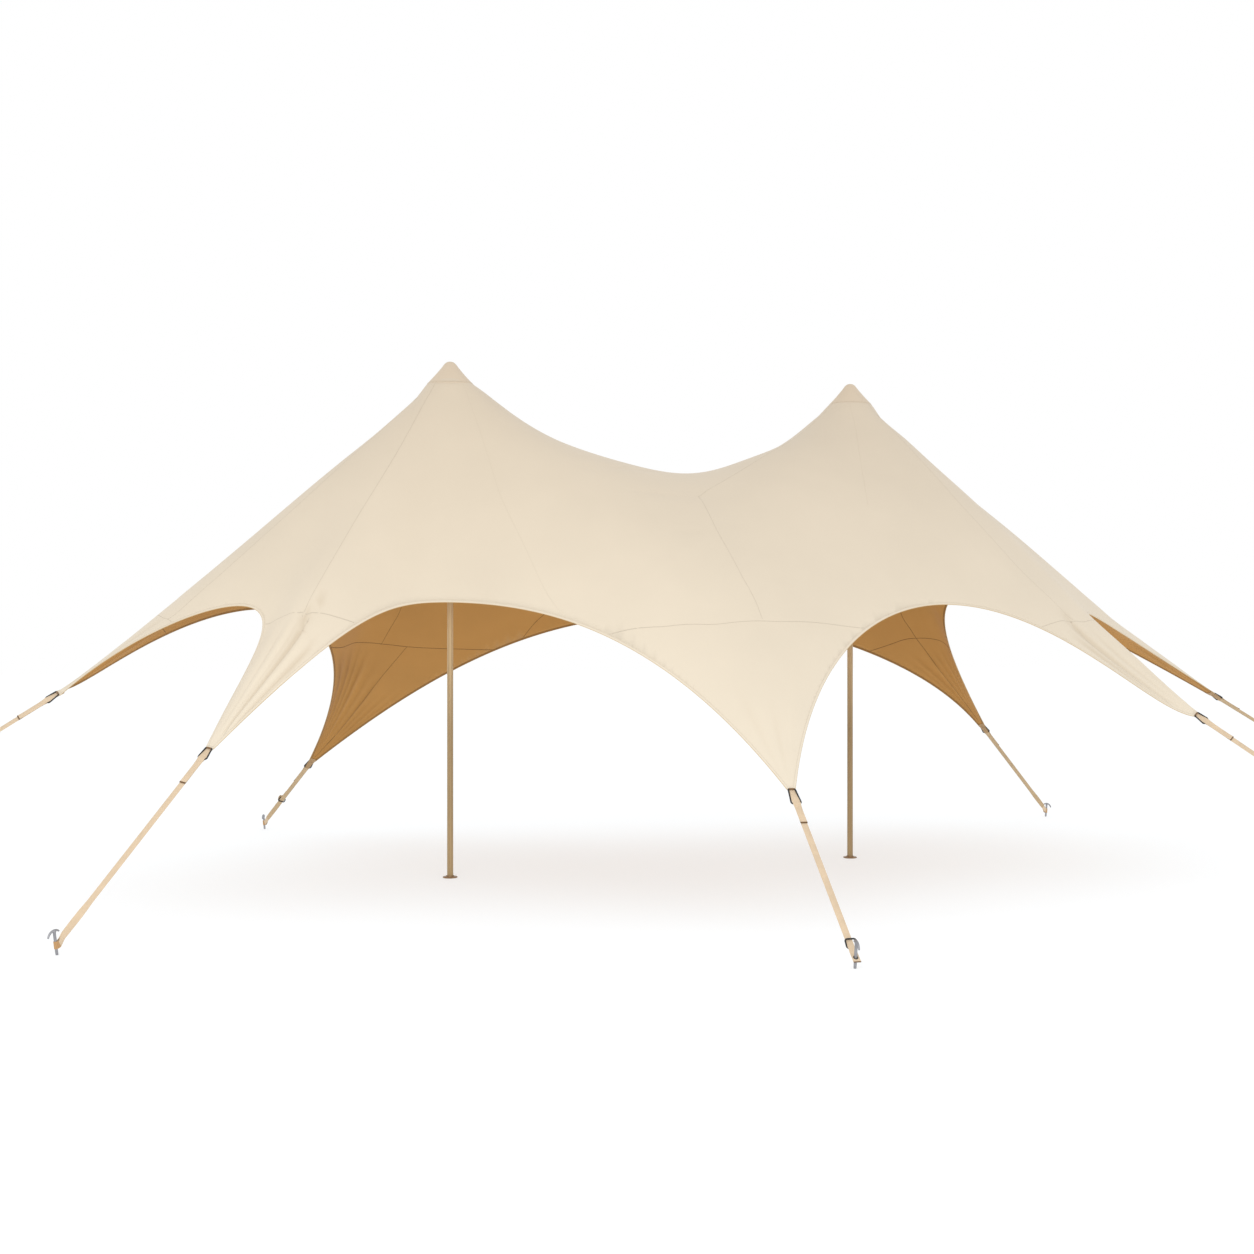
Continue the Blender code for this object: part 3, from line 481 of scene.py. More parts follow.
def spread_out(points, least):
    """The points without those that lie closer than LEAST to an earlier one."""
    cells = {}
    kept = []
    for place in points:
        key = (int(math.floor(place[0] / least)), int(math.floor(place[1] / least)))
        around = [cells.get((key[0] + i, key[1] + j)) for i in (-1, 0, 1) for j in (-1, 0, 1)]
        if all(other is None or math.dist(other, place) > least for other in around):
            cells[key] = place
            kept.append(place)
    return np.array(kept)


# Height of the stretched sheet, from the balance of its pull

def fabric_pull(centres):
    """Pull of the fabric in plan: out from the nearer pole, with a little across, eased on the saddle."""
    pull = np.zeros((len(centres), 2, 2))
    spans = [np.linalg.norm(centres - np.array((x, 0.0)), axis=1) for x in POLE_X]
    weight = spans[0] ** -3.0 + spans[1] ** -3.0
    for side, centre_x in enumerate(POLE_X):
        reach = spans[side]
        way = (centres - np.array((centre_x, 0.0))) / reach[:, None]
        inward = np.maximum(way[:, 0] * (1 if side == 0 else -1), 0.0)
        amount = reach ** -3.0 / weight / reach
        radial = 1.0 - SADDLE_EASE * inward ** 2
        cross = CROSS_PULL * np.minimum(1.0, (CROSS_REACH / reach) ** 2)
        dyad = way[:, :, None] * way[:, None, :]
        pull += (amount * radial)[:, None, None] * dyad
        pull += (amount * cross)[:, None, None] * np.eye(2)
    middle = 0.5 * (POLE_X[0] + POLE_X[1])
    pull[:, 1, 1] += SADDLE_CROSS * np.exp(-((centres[:, 0] - middle) / SADDLE_WIDTH) ** 2)
    return pull


def relax_height(plan, height, triangles):
    """Heights at which the pull is in balance, between the edges and rims whose heights are given."""
    count = len(plan)
    a, b, c = (plan[triangles[:, i]] for i in range(3))
    area = 0.5 * ((b - a)[:, 0] * (c - a)[:, 1] - (b - a)[:, 1] * (c - a)[:, 0])
    area = np.maximum(area, 1e-9)
    slope_a = np.stack((b[:, 1] - c[:, 1], c[:, 0] - b[:, 0]), -1)
    slope_b = np.stack((c[:, 1] - a[:, 1], a[:, 0] - c[:, 0]), -1)
    slope_c = np.stack((a[:, 1] - b[:, 1], b[:, 0] - a[:, 0]), -1)
    slopes = np.stack((slope_a, slope_b, slope_c), 1) / (2 * area[:, None, None])
    stiff = np.einsum("tia,tab,tjb,t->tij", slopes, fabric_pull((a + b + c) / 3), slopes, area)
    rows = np.repeat(triangles[:, :, None], 3, 2).ravel()
    columns = np.repeat(triangles[:, None, :], 3, 1).ravel()
    values = stiff.ravel()
    used = np.zeros(count, bool)
    used[triangles.ravel()] = True
    fixed = ~np.isnan(height)
    free = used & ~fixed
    result = np.where(fixed & used, height, 0.0)

    def apply(field):
        return np.bincount(rows, values * field[columns], count)

    diagonal = np.bincount(rows[rows == columns], values[rows == columns], count)
    inverse = np.where(free, 1.0 / np.maximum(diagonal, 1e-12), 0.0)
    residual = np.where(free, -apply(result), 0.0)
    field = np.zeros(count)
    scaled = inverse * residual
    search = scaled.copy()
    energy = residual @ scaled
    for _ in range(3000):
        moved = np.where(free, apply(search), 0.0)
        amount = energy / (search @ moved)
        field += amount * search
        residual -= amount * moved
        if np.abs(residual).max() < 1e-7:
            break
        scaled = inverse * residual
        following = residual @ scaled
        search = scaled + following / energy * search
        energy = following
    result[free] = field[free]
    return result


def vertex_normals(points, triangles):
    a, b, c = (points[triangles[:, i]] for i in range(3))
    face = np.cross(b - a, c - a)
    normals = np.zeros_like(points)
    for i in range(3):
        np.add.at(normals, triangles[:, i], face)
    lengths = np.linalg.norm(normals, axis=1)
    lengths[lengths == 0] = 1.0
    return normals / lengths[:, None]


# Folds that run out of each corner: place across the arm, width, height, then the first and last depth
# as shares of the way to the neck

FOLDS = {
    "front_left": ((0.47, 0.07, -0.08, 0.03, 1.15), (0.83, 0.06, -0.07, 0.1, 0.95),
                   (0.65, 0.09, 0.046, 0.1, 1.0), (0.3, 0.05, -0.036, 0.2, 1.0),
                   (0.14, 0.12, 0.036, 0.05, 1.0), (-0.06, 0.05, -0.026, 0.03, 0.9),
                   (-0.4, 0.25, 0.024, 0.1, 1.0)),
    "front": ((0.1, 0.1, -0.015, 0.02, 0.5), (-0.45, 0.1, -0.01, 0.02, 0.6),
              (0.55, 0.12, 0.01, 0.05, 0.7)),
    "front_right": ((-0.6, 0.07, -0.05, 0.05, 1.05), (-0.8, 0.05, -0.04, 0.15, 0.95),
                    (0.48, 0.08, -0.022, 0.1, 0.9), (0.05, 0.07, -0.018, 0.05, 0.6),
                    (-0.3, 0.06, -0.024, 0.05, 0.85)),
    "right": ((0.05, 0.1, -0.04, 0.05, 1.05), (0.5, 0.1, -0.03, 0.05, 0.8),
              (-0.45, 0.12, -0.03, 0.05, 0.8)),
    "back_right": ((0.6, 0.05, -0.034, 0.02, 0.86), (0.27, 0.04, -0.028, 0.02, 0.82),
                   (0.03, 0.04, -0.032, 0.02, 0.78), (-0.28, 0.05, -0.028, 0.02, 0.76),
                   (0.44, 0.06, 0.022, 0.02, 0.8), (-0.12, 0.06, 0.022, 0.02, 0.74),
                   (-0.55, 0.06, -0.022, 0.02, 0.74), (0.8, 0.04, -0.024, 0.1, 0.9)),
    "back_left": ((0.88, 0.04, -0.04, 0.1, 0.9), (0.68, 0.04, -0.04, 0.02, 0.86),
                  (0.32, 0.04, -0.038, 0.02, 0.8), (0.18, 0.06, 0.028, 0.02, 0.8),
                  (0.5, 0.03, -0.028, 0.02, 0.84), (0.03, 0.03, -0.03, 0.02, 0.76),
                  (-0.22, 0.04, -0.034, 0.02, 0.72), (-0.45, 0.05, -0.024, 0.02, 0.6),
                  (-0.65, 0.04, -0.03, 0.02, 0.66), (-0.85, 0.03, -0.022, 0.05, 0.7)),
    "left": ((0.7, 0.06, -0.03, 0.05, 0.95), (-0.7, 0.06, -0.03, 0.05, 0.95),
             (0.0, 0.05, -0.012, 0.05, 1.1)),
}
FOLD_FULL = 0.01

# Seams, as lines in plan
NECK_SEAMS = (
    ((-3.4, -0.52), (-3.359, -0.6), (-3.261, -0.722), (-3.2, -0.778), (-3.137, -0.815),
     (-3.04, -0.849), (-2.931, -0.868), (-2.824, -0.87), (-2.79, -0.868)),
    ((-3.88, -0.37), (-3.894, -0.277), (-3.964, -0.179), (-3.99, 0.0), (-3.95, 0.2), (-3.9, 0.32)),
    ((-1.38, -1.41), (-1.277, -1.471), (-1.029, -1.61), (-0.719, -1.699), (-0.281, -1.714),
     (0.22, -1.683), (0.33, -1.675)),
    ((1.72, -1.49), (1.802, -1.453), (2.128, -1.311), (2.23, -1.286), (2.42, -1.18), (2.56, -1.04)),
    ((-2.74, 1.34), (-2.657, 1.457), (-2.533, 1.61), (-2.45, 1.698), (-2.377, 1.755), (-2.229, 1.793),
     (-2.13, 1.806), (-2.009, 1.817), (-1.82, 1.81), (-1.658, 1.795), (-1.496, 1.777), (-1.269, 1.745)),
    ((1.76, 1.31), (1.876, 1.279), (2.067, 1.222), (2.2, 1.174), (2.267, 1.15), (2.385, 1.115),
     (2.481, 1.057), (2.54, 0.98)),
    ((3.33, -0.48), (3.35, -0.25), (3.36, 0.0), (3.35, 0.25), (3.33, 0.48)),
)
CENTRE_SEAMS = (
    ((-3.094, -0.848), (-3.191, -0.92), (-3.327, -0.984), (-3.443, -1.056), (-3.549, -1.108),
     (-3.653, -1.172)),
    ((-3.99, 0.0), (-4.55, 0.0)),
    ((2.143, -1.349), (2.253, -1.454), (2.375, -1.51), (2.521, -1.562), (2.652, -1.606), (2.76, -1.679)),
    ((-2.009, 1.817), (-2.24, 2.083), (-2.469, 2.374), (-2.579, 2.485), (-2.655, 2.562)),
    ((2.27, 1.163), (2.583, 1.29), (2.801, 1.368), (3.04, 1.45)),
    ((3.36, 0.0), (4.32, 0.0)),
)
RIDGE_SEAMS = (
    ((-2.142, -0.097), (-2.433, -0.313), (-2.729, -0.513), (-2.944, -0.674), (-3.136, -0.827)),
    ((-2.177, -0.01), (-3.079, -0.17), (-3.476, -0.215), (-3.87, -0.255), (-3.925, -0.24)),
    ((-1.973, -0.14), (-1.898, -0.367), (-1.825, -0.644), (-1.716, -0.881), (-1.634, -1.077),
     (-1.529, -1.244), (-1.47, -1.34)),
    ((0.907, -0.03), (0.6, -0.13), (0.193, -0.375), (-0.165, -0.611), (-0.492, -0.833)),
    ((-0.492, -0.833), (-0.49, -1.168), (-0.437, -1.48), (-0.399, -1.625), (-0.395, -1.7)),
    ((0.985, -0.133), (0.912, -0.385), (0.795, -0.713), (0.715, -0.963)),
    ((1.123, -0.134), (1.329, -0.435), (1.545, -0.78), (1.825, -1.123), (2.048, -1.278), (2.132, -1.304)),
    ((-2.03, 0.15), (-2.06, 0.9), (-2.091, 1.568), (-2.113, 1.625), (-2.222, 1.799)),
    ((0.95, 0.107), (-0.2, 0.8), (-0.963, 1.493), (-1.032, 1.56), (-1.085, 1.637), (-1.17, 1.755)),
    ((1.153, 0.114), (1.62, 0.61), (2.067, 1.08), (2.27, 1.163)),
    ((1.205, 0.0), (2.2, 0.0), (3.36, 0.0)),
)
FAINT_SEAMS = (RIDGE_SEAMS[2], RIDGE_SEAMS[5])
RIDGE_RISE = 0.01
RIDGE_FALL = 0.13

# Small wrinkles beside the seams: a line in plan and its depth
WRINKLES = (
    (((-1.037, -0.833), (-0.838, -0.829), (-0.567, -0.848)), -0.005),
    (((-0.826, -1.152), (-0.673, -1.152), (-0.489, -1.148)), -0.005),
    (((-0.661, -1.483), (-0.556, -1.475), (-0.452, -1.473)), -0.004),
    (((-1.261, -0.602), (-1.151, -0.704)), -0.005),
    (((-1.232, -0.648), (-0.807, -0.526), (-0.495, -0.374)), -0.006),
)
WRINKLE_WIDTH = 0.016
CREASE_CAP = 0.05


def smooth_step(low, high, value):
    amount = np.clip((value - low) / (high - low), 0.0, 1.0)
    return amount * amount * (3.0 - 2.0 * amount)


def pole_reach(plan):
    return np.minimum(*[np.hypot(plan[:, 0] - x, plan[:, 1]) for x in POLE_X])


def swell_height(plan, outline):
    hold = smooth_step(0.0, SWELL_EDGE, edge_gap(plan, outline)) \
        * smooth_step(CAP_RADIUS, CAP_RADIUS + SWELL_CAP, pole_reach(plan))
    total = np.zeros(len(plan))
    for x, y, radius, tall in SWELLS:
        total += tall * np.exp(-((plan[:, 0] - x) ** 2 + (plan[:, 1] - y) ** 2) / radius ** 2)
    return total * hold


def fold_height(arms, plan):
    total = np.zeros(len(plan))
    for arm in arms:
        deep, amount, half = arm.locate(plan)
        share = deep / arm.neck
        near = (deep > 0) & (share < ARM_REACH + 0.2) & (np.abs(amount) < 1.0)
        here = np.zeros(len(plan))
        for middle, width, tall, first, last in FOLDS[arm.name]:
            fade = smooth_step(first, first + 0.12, share) * (1.0 - smooth_step(last - 0.3, last, share))
            here += tall * np.exp(-((amount - middle) / width) ** 2) * fade
        edge = 1.0 - smooth_step(0.9, 1.0, np.abs(amount))
        total += np.where(near, here * half * edge, 0.0)
    return total


def even_line(path, step, times=2):
    path = np.array(path, float)
    total = path_length(path)[-1]
    knots = np.linspace(0.0, total, max(2, int(math.ceil(total / step))) + 1)
    return smoothed(at_lengths(path, knots), times)


def line_reach(points, path):
    line = even_line(path, SEAM_STEP * 2)
    best = np.full(len(points), FAR)
    share = np.zeros(len(points))
    for i, (start, end) in enumerate(zip(line[:-1], line[1:])):
        gap, amount = segment_gap(points, start, end)
        near = gap < best
        best[near] = gap[near]
        share[near] = (i + amount[near]) / (len(line) - 1)
    return best, share


def crease_height(plan, gap_to_edge):
    hold = smooth_step(0.0, 0.12, gap_to_edge)
    total = np.zeros(len(plan))
    for path in RIDGE_SEAMS:
        if path in FAINT_SEAMS:
            continue
        gap, share = line_reach(plan, path)
        total += RIDGE_RISE * np.exp(-gap / RIDGE_FALL) * smooth_step(0.0, 0.08, share) \
            * (1.0 - smooth_step(0.92, 1.0, share))
    for path, tall in WRINKLES:
        gap, share = line_reach(plan, path)
        total += tall * np.exp(-(gap / WRINKLE_WIDTH) ** 2) * smooth_step(0.0, 0.25, share) \
            * (1.0 - smooth_step(0.75, 1.0, share))
    return total * hold * smooth_step(CAP_RADIUS, CAP_RADIUS + CREASE_CAP, pole_reach(plan))


def seam_points():
    rows = []
    for path in RIDGE_SEAMS + tuple(w[0] for w in WRINKLES):
        line = even_line(path, SEAM_STEP)
        run = tangents(line)
        side = np.stack((-run[:, 1], run[:, 0]), -1) * SEAM_SIDE
        rows += [line, line + side, line - side]
    return np.concatenate(rows)


# Canopy sheet: one skin from peak to peak and out to the seven corners

CAP_PROFILE = ((0.15, 0.0), (0.125, 0.0275), (0.1, 0.0555), (0.078, 0.0815), (0.058, 0.1055),
               (0.0475, 0.12), (0.0385, 0.1315), (0.032, 0.1382), (0.025, 0.1432),
               (0.018, 0.1466), (0.01, 0.1488))
CAP_TIP_RISE = 0.1495


def add_object(name, points, faces, materials, slots):
    mesh = bpy.data.meshes.new(name)
    points = [(float(x), float(y) + SET_BACK, float(z)) for x, y, z in points]
    mesh.from_pydata(points, [], [tuple(map(int, f)) for f in faces])
    for material in materials:
        mesh.materials.append(material)
    mesh.polygons.foreach_set("material_index", np.asarray(slots, dtype=np.int32))
    mesh.polygons.foreach_set("use_smooth", np.ones(len(mesh.polygons), bool))
    mesh.update()
    item = bpy.data.objects.new(name, mesh)
    bpy.context.scene.collection.objects.link(item)
    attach(item, "root")
    return item


class Build:
    """Closed tubes and lofts gathered into one piece, with the place along and across for its stitches."""

    def __init__(self):
        self.points = []
        self.faces = []
        self.slots = []
        self.along = []
        self.across = []

    def tube(self, rows, slots=0, along=None, across=None, closed=False, caps=True, changes=()):
        base = len(self.points)
        size = len(rows[0])
        count = len(rows)
        slots = [slots] * size if isinstance(slots, int) else list(slots)
        later = dict(changes)
        for i, row in enumerate(rows):
            self.points.extend(tuple(map(float, p)) for p in row)
            self.along.extend([0.0 if along is None else float(along[i])] * size)
            self.across.extend([0.0] * size if across is None else [float(v) for v in across])
        for i in range(count if closed else count - 1):
            j = (i + 1) % count
            slots = later.get(i, slots)
            for k in range(size):
                m = (k + 1) % size
                self.faces.append((base + i * size + k, base + i * size + m,
                                   base + j * size + m, base + j * size + k))
                self.slots.append(slots[k])
        if caps and not closed:
            self.faces.append(tuple(base + k for k in range(size - 1, -1, -1)))
            self.faces.append(tuple(base + (count - 1) * size + k for k in range(size)))
            self.slots.extend((slots[0], slots[-1]))

    def make(self, name, materials, sharp=40.0):
        item = add_object(name, self.points, self.faces, materials, self.slots)
        shape = bmesh.new()
        shape.from_mesh(item.data)
        bmesh.ops.recalc_face_normals(shape, faces=shape.faces)
        shape.to_mesh(item.data)
        shape.free()
        for label, values in (("along", self.along), ("across", self.across)):
            layer = item.data.attributes.new(label, "FLOAT", "POINT")
            layer.data.foreach_set("value", np.array(values, dtype=np.float32))
        item.data.set_sharp_from_angle(angle=math.radians(sharp))
        return item


def canopy_surface():
    arms = [ArmGrid(name) for name in ARM_NAMES]
    plan, height, triangles, order, rims = canopy_layout(arms)
    outline = plan[order]
    height = relax_height(plan, height, triangles) + swell_height(plan, outline)
    points = [tuple(p) for p in np.column_stack((plan, height))]
    triangles = [tuple(t) for t in triangles.tolist()]
    for centre_x, rim in zip(POLE_X, rims):
        ring = sorted(rim.tolist(), key=lambda i: math.atan2(plan[i][1], plan[i][0] - centre_x))
        count = len(ring)
        angles = [math.atan2(plan[i][1], plan[i][0] - centre_x) for i in ring]
        last = ring
        for radius, rise in CAP_PROFILE[1:]:
            row = []
            for a in angles:
                row.append(len(points))
                points.append((centre_x + radius * math.cos(a), radius * math.sin(a), CAP_SEAM_Z + rise))
            for i in range(count):
                j = (i + 1) % count
                triangles.append((last[i], last[j], row[j]))
                triangles.append((last[i], row[j], row[i]))
            last = row
        top = len(points)
        points.append((centre_x, 0.0, CAP_SEAM_Z + CAP_TIP_RISE))
        for i in range(count):
            triangles.append((last[i], last[(i + 1) % count], top))
    points = np.array(points)
    triangles = np.array(triangles)
    used = np.unique(triangles)
    renumber = np.full(len(points), -1)
    renumber[used] = np.arange(len(used))
    points = points[used]
    triangles = renumber[triangles]
    normals = vertex_normals(points, triangles)
    folds = fold_height(arms, points[:, :2])
    lift = folds + crease_height(points[:, :2], edge_gap(points[:, :2], outline))
    points = points + normals * lift[:, None]
    return points, triangles, np.clip(folds / FOLD_FULL, -1.0, 1.0)


def border_edges(triangles):
    seen = set()
    for a, b, c in triangles.tolist():
        seen.update(((a, b), (b, c), (c, a)))
    return [(a, b) for a, b in sorted(seen) if (b, a) not in seen]


def sheet_solid(points, triangles, half):
    """The sheet with its real thickness: slot 0 on the outer face, 1 on the inner and 2 at the rim."""
    normals = vertex_normals(points, triangles)
    count = len(points)
    both = np.concatenate((points + normals * half, points - normals * half))
    faces = [tuple(t) for t in triangles.tolist()]
    slots = [0] * len(faces)
    faces += [(c + count, b + count, a + count) for a, b, c in triangles.tolist()]
    slots += [1] * len(triangles)
    for a, b in border_edges(triangles):
        faces.append((b, a, a + count, b + count))
        slots.append(2)
    return both, faces, slots


# Materials

STITCH_SHARE = 0.66
RIB_PITCH = 0.0022
CORD_PITCH = 0.003


class Nodes:
    def __init__(self, name, colour, roughness, metallic=0.0):
        self.material = bpy.data.materials.new(name)
        self.material.use_nodes = True
        self.tree = self.material.node_tree
        self.shader = self.tree.nodes["Principled BSDF"]
        self.shader.inputs["Base Color"].default_value = (*colour, 1.0)
        self.shader.inputs["Roughness"].default_value = roughness
        self.shader.inputs["Metallic"].default_value = metallic
        self.material.diffuse_color = (*colour, 1.0)
        self.where = self.add("ShaderNodeTexCoord").outputs["Object"]

    def add(self, kind, **settings):
        node = self.tree.nodes.new(kind)
        for key, value in settings.items():
            setattr(node, key, value)
        return node

    def link(self, source, target):
        self.tree.links.new(source, target)

    def noise(self, scale, detail=2.0, roughness=0.5, stretch=None):
        node = self.add("ShaderNodeTexNoise")
        node.inputs["Scale"].default_value = scale
        node.inputs["Detail"].default_value = detail
        node.inputs["Roughness"].default_value = roughness
        source = self.where
        if stretch:
            mapping = self.add("ShaderNodeMapping")
            mapping.inputs["Scale"].default_value = stretch
            self.link(source, mapping.inputs["Vector"])
            source = mapping.outputs["Vector"]
        self.link(source, node.inputs["Vector"])
        return node.outputs["Fac"]

    def ramp(self, source, stops):
        node = self.add("ShaderNodeValToRGB")
        marks = node.color_ramp.elements
        while len(marks) < len(stops):
            marks.new(0.5)
        for mark, (place, colour) in zip(marks, stops):
            mark.position = place
            mark.color = (*colour, 1.0)
        self.link(source, node.inputs["Fac"])
        return node.outputs["Color"]

    def mix(self, kind, amount, first, second):
        node = self.add("ShaderNodeMix", data_type="RGBA", blend_type=kind)
        if isinstance(amount, float):
            node.inputs["Factor"].default_value = amount
        else:
            self.link(amount, node.inputs["Factor"])
        for socket, value in (("A", first), ("B", second)):
            target = [s for s in node.inputs if s.name == socket and s.type == "RGBA"][0]
            if isinstance(value, tuple):
                target.default_value = (*value, 1.0)
            else:
                self.link(value, target)
        return [s for s in node.outputs if s.type == "RGBA"][0]

    def maths(self, kind, first, second=None):
        node = self.add("ShaderNodeMath", operation=kind)
        for socket, value in zip(node.inputs, (first, second)):
            if value is None:
                continue
            if isinstance(value, (int, float)):
                socket.default_value = value
            else:
                self.link(value, socket)
        return node.outputs["Value"]

    def colour(self, source):
        self.link(source, self.shader.inputs["Base Color"])

    def roughness(self, source, low, high):
        node = self.add("ShaderNodeMapRange")
        node.inputs["To Min"].default_value = low
        node.inputs["To Max"].default_value = high
        self.link(source, node.inputs["Value"])
        self.link(node.outputs["Result"], self.shader.inputs["Roughness"])

    def bump(self, source, distance, strength=1.0, below=None):
        node = self.add("ShaderNodeBump")
        node.inputs["Distance"].default_value = distance
        node.inputs["Strength"].default_value = strength
        self.link(source, node.inputs["Height"])
        if below is not None:
            self.link(below, node.inputs["Normal"])
        self.link(node.outputs["Normal"], self.shader.inputs["Normal"])
        return node.outputs["Normal"]


def shade(colour, amount):
    return tuple(c * amount for c in colour)


def attribute(nodes, name):
    return nodes.add("ShaderNodeAttribute", attribute_name=name).outputs["Fac"]


def stitch_mask(nodes, lines, pitch, half):
    along = nodes.maths("FRACT", nodes.maths("DIVIDE", attribute(nodes, "along"), pitch))
    dash = nodes.maths("LESS_THAN", along, STITCH_SHARE)
    total = None
    for line in lines:
        gap = nodes.maths("ABSOLUTE", nodes.maths("SUBTRACT", attribute(nodes, "across"), line))
        near = nodes.maths("LESS_THAN", gap, half)
        total = near if total is None else nodes.maths("MAXIMUM", total, near)
    return nodes.maths("MULTIPLY", total, dash)


# Multiplies the tone by a ramp from white at height LOW to COLOUR at height HIGH.
def height_fade(nodes, tone, low, high, colour):
    parts = nodes.add("ShaderNodeSeparateXYZ")
    nodes.link(nodes.where, parts.inputs["Vector"])
    span = nodes.add("ShaderNodeMapRange")
    span.inputs["From Min"].default_value = low
    span.inputs["From Max"].default_value = high
    nodes.link(parts.outputs["Z"], span.inputs["Value"])
    tint_ramp = nodes.ramp(span.outputs["Result"], ((0.0, (1.0, 1.0, 1.0)), (1.0, colour)))
    return nodes.mix("MULTIPLY", 1.0, tone, tint_ramp)


# Painted shade and highlight: darkens the cloth in the fold valleys and lightens it on the fold ridges, from
# the fold heights stored on the sheet.
def paint_fold_shade(nodes, tone, valley, ridge):
    amount = nodes.maths("ADD", nodes.maths("MULTIPLY", attribute(nodes, "fold"), 0.5), 0.5)
    tint_ramp = nodes.ramp(amount, ((0.0, valley), (0.5, (1.0, 1.0, 1.0)), (1.0, ridge)))
    return nodes.mix("MULTIPLY", 1.0, tone, tint_ramp)


def fabric_material(name, colour, pale, dark, fade=None, stitches=None, folds=None):
    nodes = Nodes(name, colour, 0.9)
    broad = nodes.noise(1.3, 3.0, 0.55)
    tone = nodes.ramp(broad, ((0.3, shade(colour, dark)), (0.72, shade(colour, pale))))
    # Height ramp on the tone: painted shade towards the peaks on the cream cloth, darker towards the bottom
    # on the brown.
    if fade:
        tone = height_fade(nodes, tone, *fade)
    # Painted shade in the fold valleys and painted highlight on the fold ridges.
    if folds:
        tone = paint_fold_shade(nodes, tone, *folds)
    weave_a = nodes.noise(420.0, 2.0, 0.6, (1.0, 0.35, 1.0))
    weave_b = nodes.noise(420.0, 2.0, 0.6, (0.35, 1.0, 1.0))
    weave = nodes.maths("MAXIMUM", weave_a, weave_b)
    fleck = nodes.ramp(weave, ((0.35, (0.972, 0.972, 0.972)), (0.7, (1.0, 1.0, 1.0))))
    tone = nodes.mix("MULTIPLY", 1.0, tone, fleck)
    if stitches:
        mask = stitch_mask(nodes, *stitches)
        tone = nodes.mix("MULTIPLY", mask, tone, (0.8, 0.78, 0.74))
    nodes.colour(tone)
    nodes.roughness(weave, 0.82, 0.96)
    nodes.shader.inputs["Sheen Weight"].default_value = 0.15
    nodes.shader.inputs["Sheen Roughness"].default_value = 0.5
    nodes.shader.inputs["Specular IOR Level"].default_value = 0.25
    ripple = nodes.bump(nodes.noise(9.0, 4.0, 0.5), 0.004, 0.25)
    fine = nodes.bump(weave, 0.0003, 0.35, ripple)
    if stitches:
        nodes.bump(mask, 0.0008, 0.8, fine)
    return nodes.material


def webbing_material(name, colour):
    nodes = Nodes(name, colour, 0.85)
    along = attribute(nodes, "along")
    across = attribute(nodes, "across")
    slant = nodes.maths("ADD", along, nodes.maths("MULTIPLY", nodes.maths("ABSOLUTE", across), 0.8))
    ribs = nodes.maths("SINE", nodes.maths("MULTIPLY", slant, 2 * math.pi / RIB_PITCH))
    cords = nodes.maths("SINE", nodes.maths("MULTIPLY", across, 2 * math.pi / CORD_PITCH))
    weave = nodes.maths("MULTIPLY", nodes.maths("ADD", ribs, cords), 0.25)
    fuzz = nodes.noise(300.0, 3.0, 0.6)
    broad = nodes.ramp(nodes.noise(14.0, 3.0, 0.5), ((0.3, shade(colour, 0.93)), (0.7, shade(colour, 1.04))))
    mark = nodes.ramp(nodes.maths("ADD", weave, 0.5), ((0.0, (0.84, 0.83, 0.82)), (0.6, (1.0, 1.0, 1.0))))
    nodes.colour(nodes.mix("MULTIPLY", 1.0, broad, mark))
    nodes.roughness(fuzz, 0.75, 0.95)
    nodes.shader.inputs["Sheen Weight"].default_value = 0.2
    nodes.shader.inputs["Specular IOR Level"].default_value = 0.3
    soft = nodes.bump(fuzz, 0.0003, 0.5)
    nodes.bump(weave, 0.0006, 0.8, soft)
    return nodes.material


def metal_material(name, colour, metallic, low, high, grain, depth, stretch=None, wear=None, fade=None):
    nodes = Nodes(name, colour, 0.5 * (low + high), metallic)
    patch = nodes.noise(grain * 0.15, 4.0, 0.6, stretch)
    tone = nodes.ramp(patch, ((0.32, shade(colour, 0.88)), (0.68, shade(colour, 1.08))))
    # Height ramp on the tone: the pole darker towards the bottom.
    if fade:
        tone = height_fade(nodes, tone, *fade)
    fine = nodes.noise(grain, 3.0, 0.65, stretch)
    if wear:
        speck = nodes.ramp(fine, ((0.62, (0.0, 0.0, 0.0)), (0.74, (1.0, 1.0, 1.0))))
        tone = nodes.mix("MIX", speck, tone, wear)
    nodes.colour(tone)
    nodes.roughness(fine, low, high)
    nodes.bump(fine, depth, 0.5)
    return nodes.material


CREAM = (0.73, 0.647, 0.52)
# Painted shade: the cream cloth darkens from 0.9 m up to the peaks at 3.6 m, where its steep slopes catch
# less light.
CREAM_PEAK_SHADE = (0.9, 3.6, (0.83, 0.795, 0.765))
BROWN = (0.49, 0.256, 0.073)
WEBBING = {
    "webbing": (0.7, 0.545, 0.375),
    # webbing_end_shade: painted shade, a near-black brown on the folded tail ends and the flap's end, where a
    # shadow gap lies beneath.
    "webbing_end_shade": (0.16, 0.085, 0.035),
    # webbing_under_shade: painted shade, the same webbing darkened where its underside faces away from the
    # light.
    "webbing_under_shade": (0.56, 0.41, 0.24),
    # webbing_inner_shade: painted shade, a browner, darker webbing on the underside where the tab leaves the
    # sheet.
    "webbing_inner_shade": (0.43, 0.28, 0.14),
    "webbing_loop": (0.52, 0.3, 0.13),
    # webbing_fold_shade: painted shade, dark brown where the webbing wraps over the ring's top bar.
    "webbing_fold_shade": (0.22, 0.125, 0.055),
}


# Stage, lights and camera

FLOOR_HALF = 60


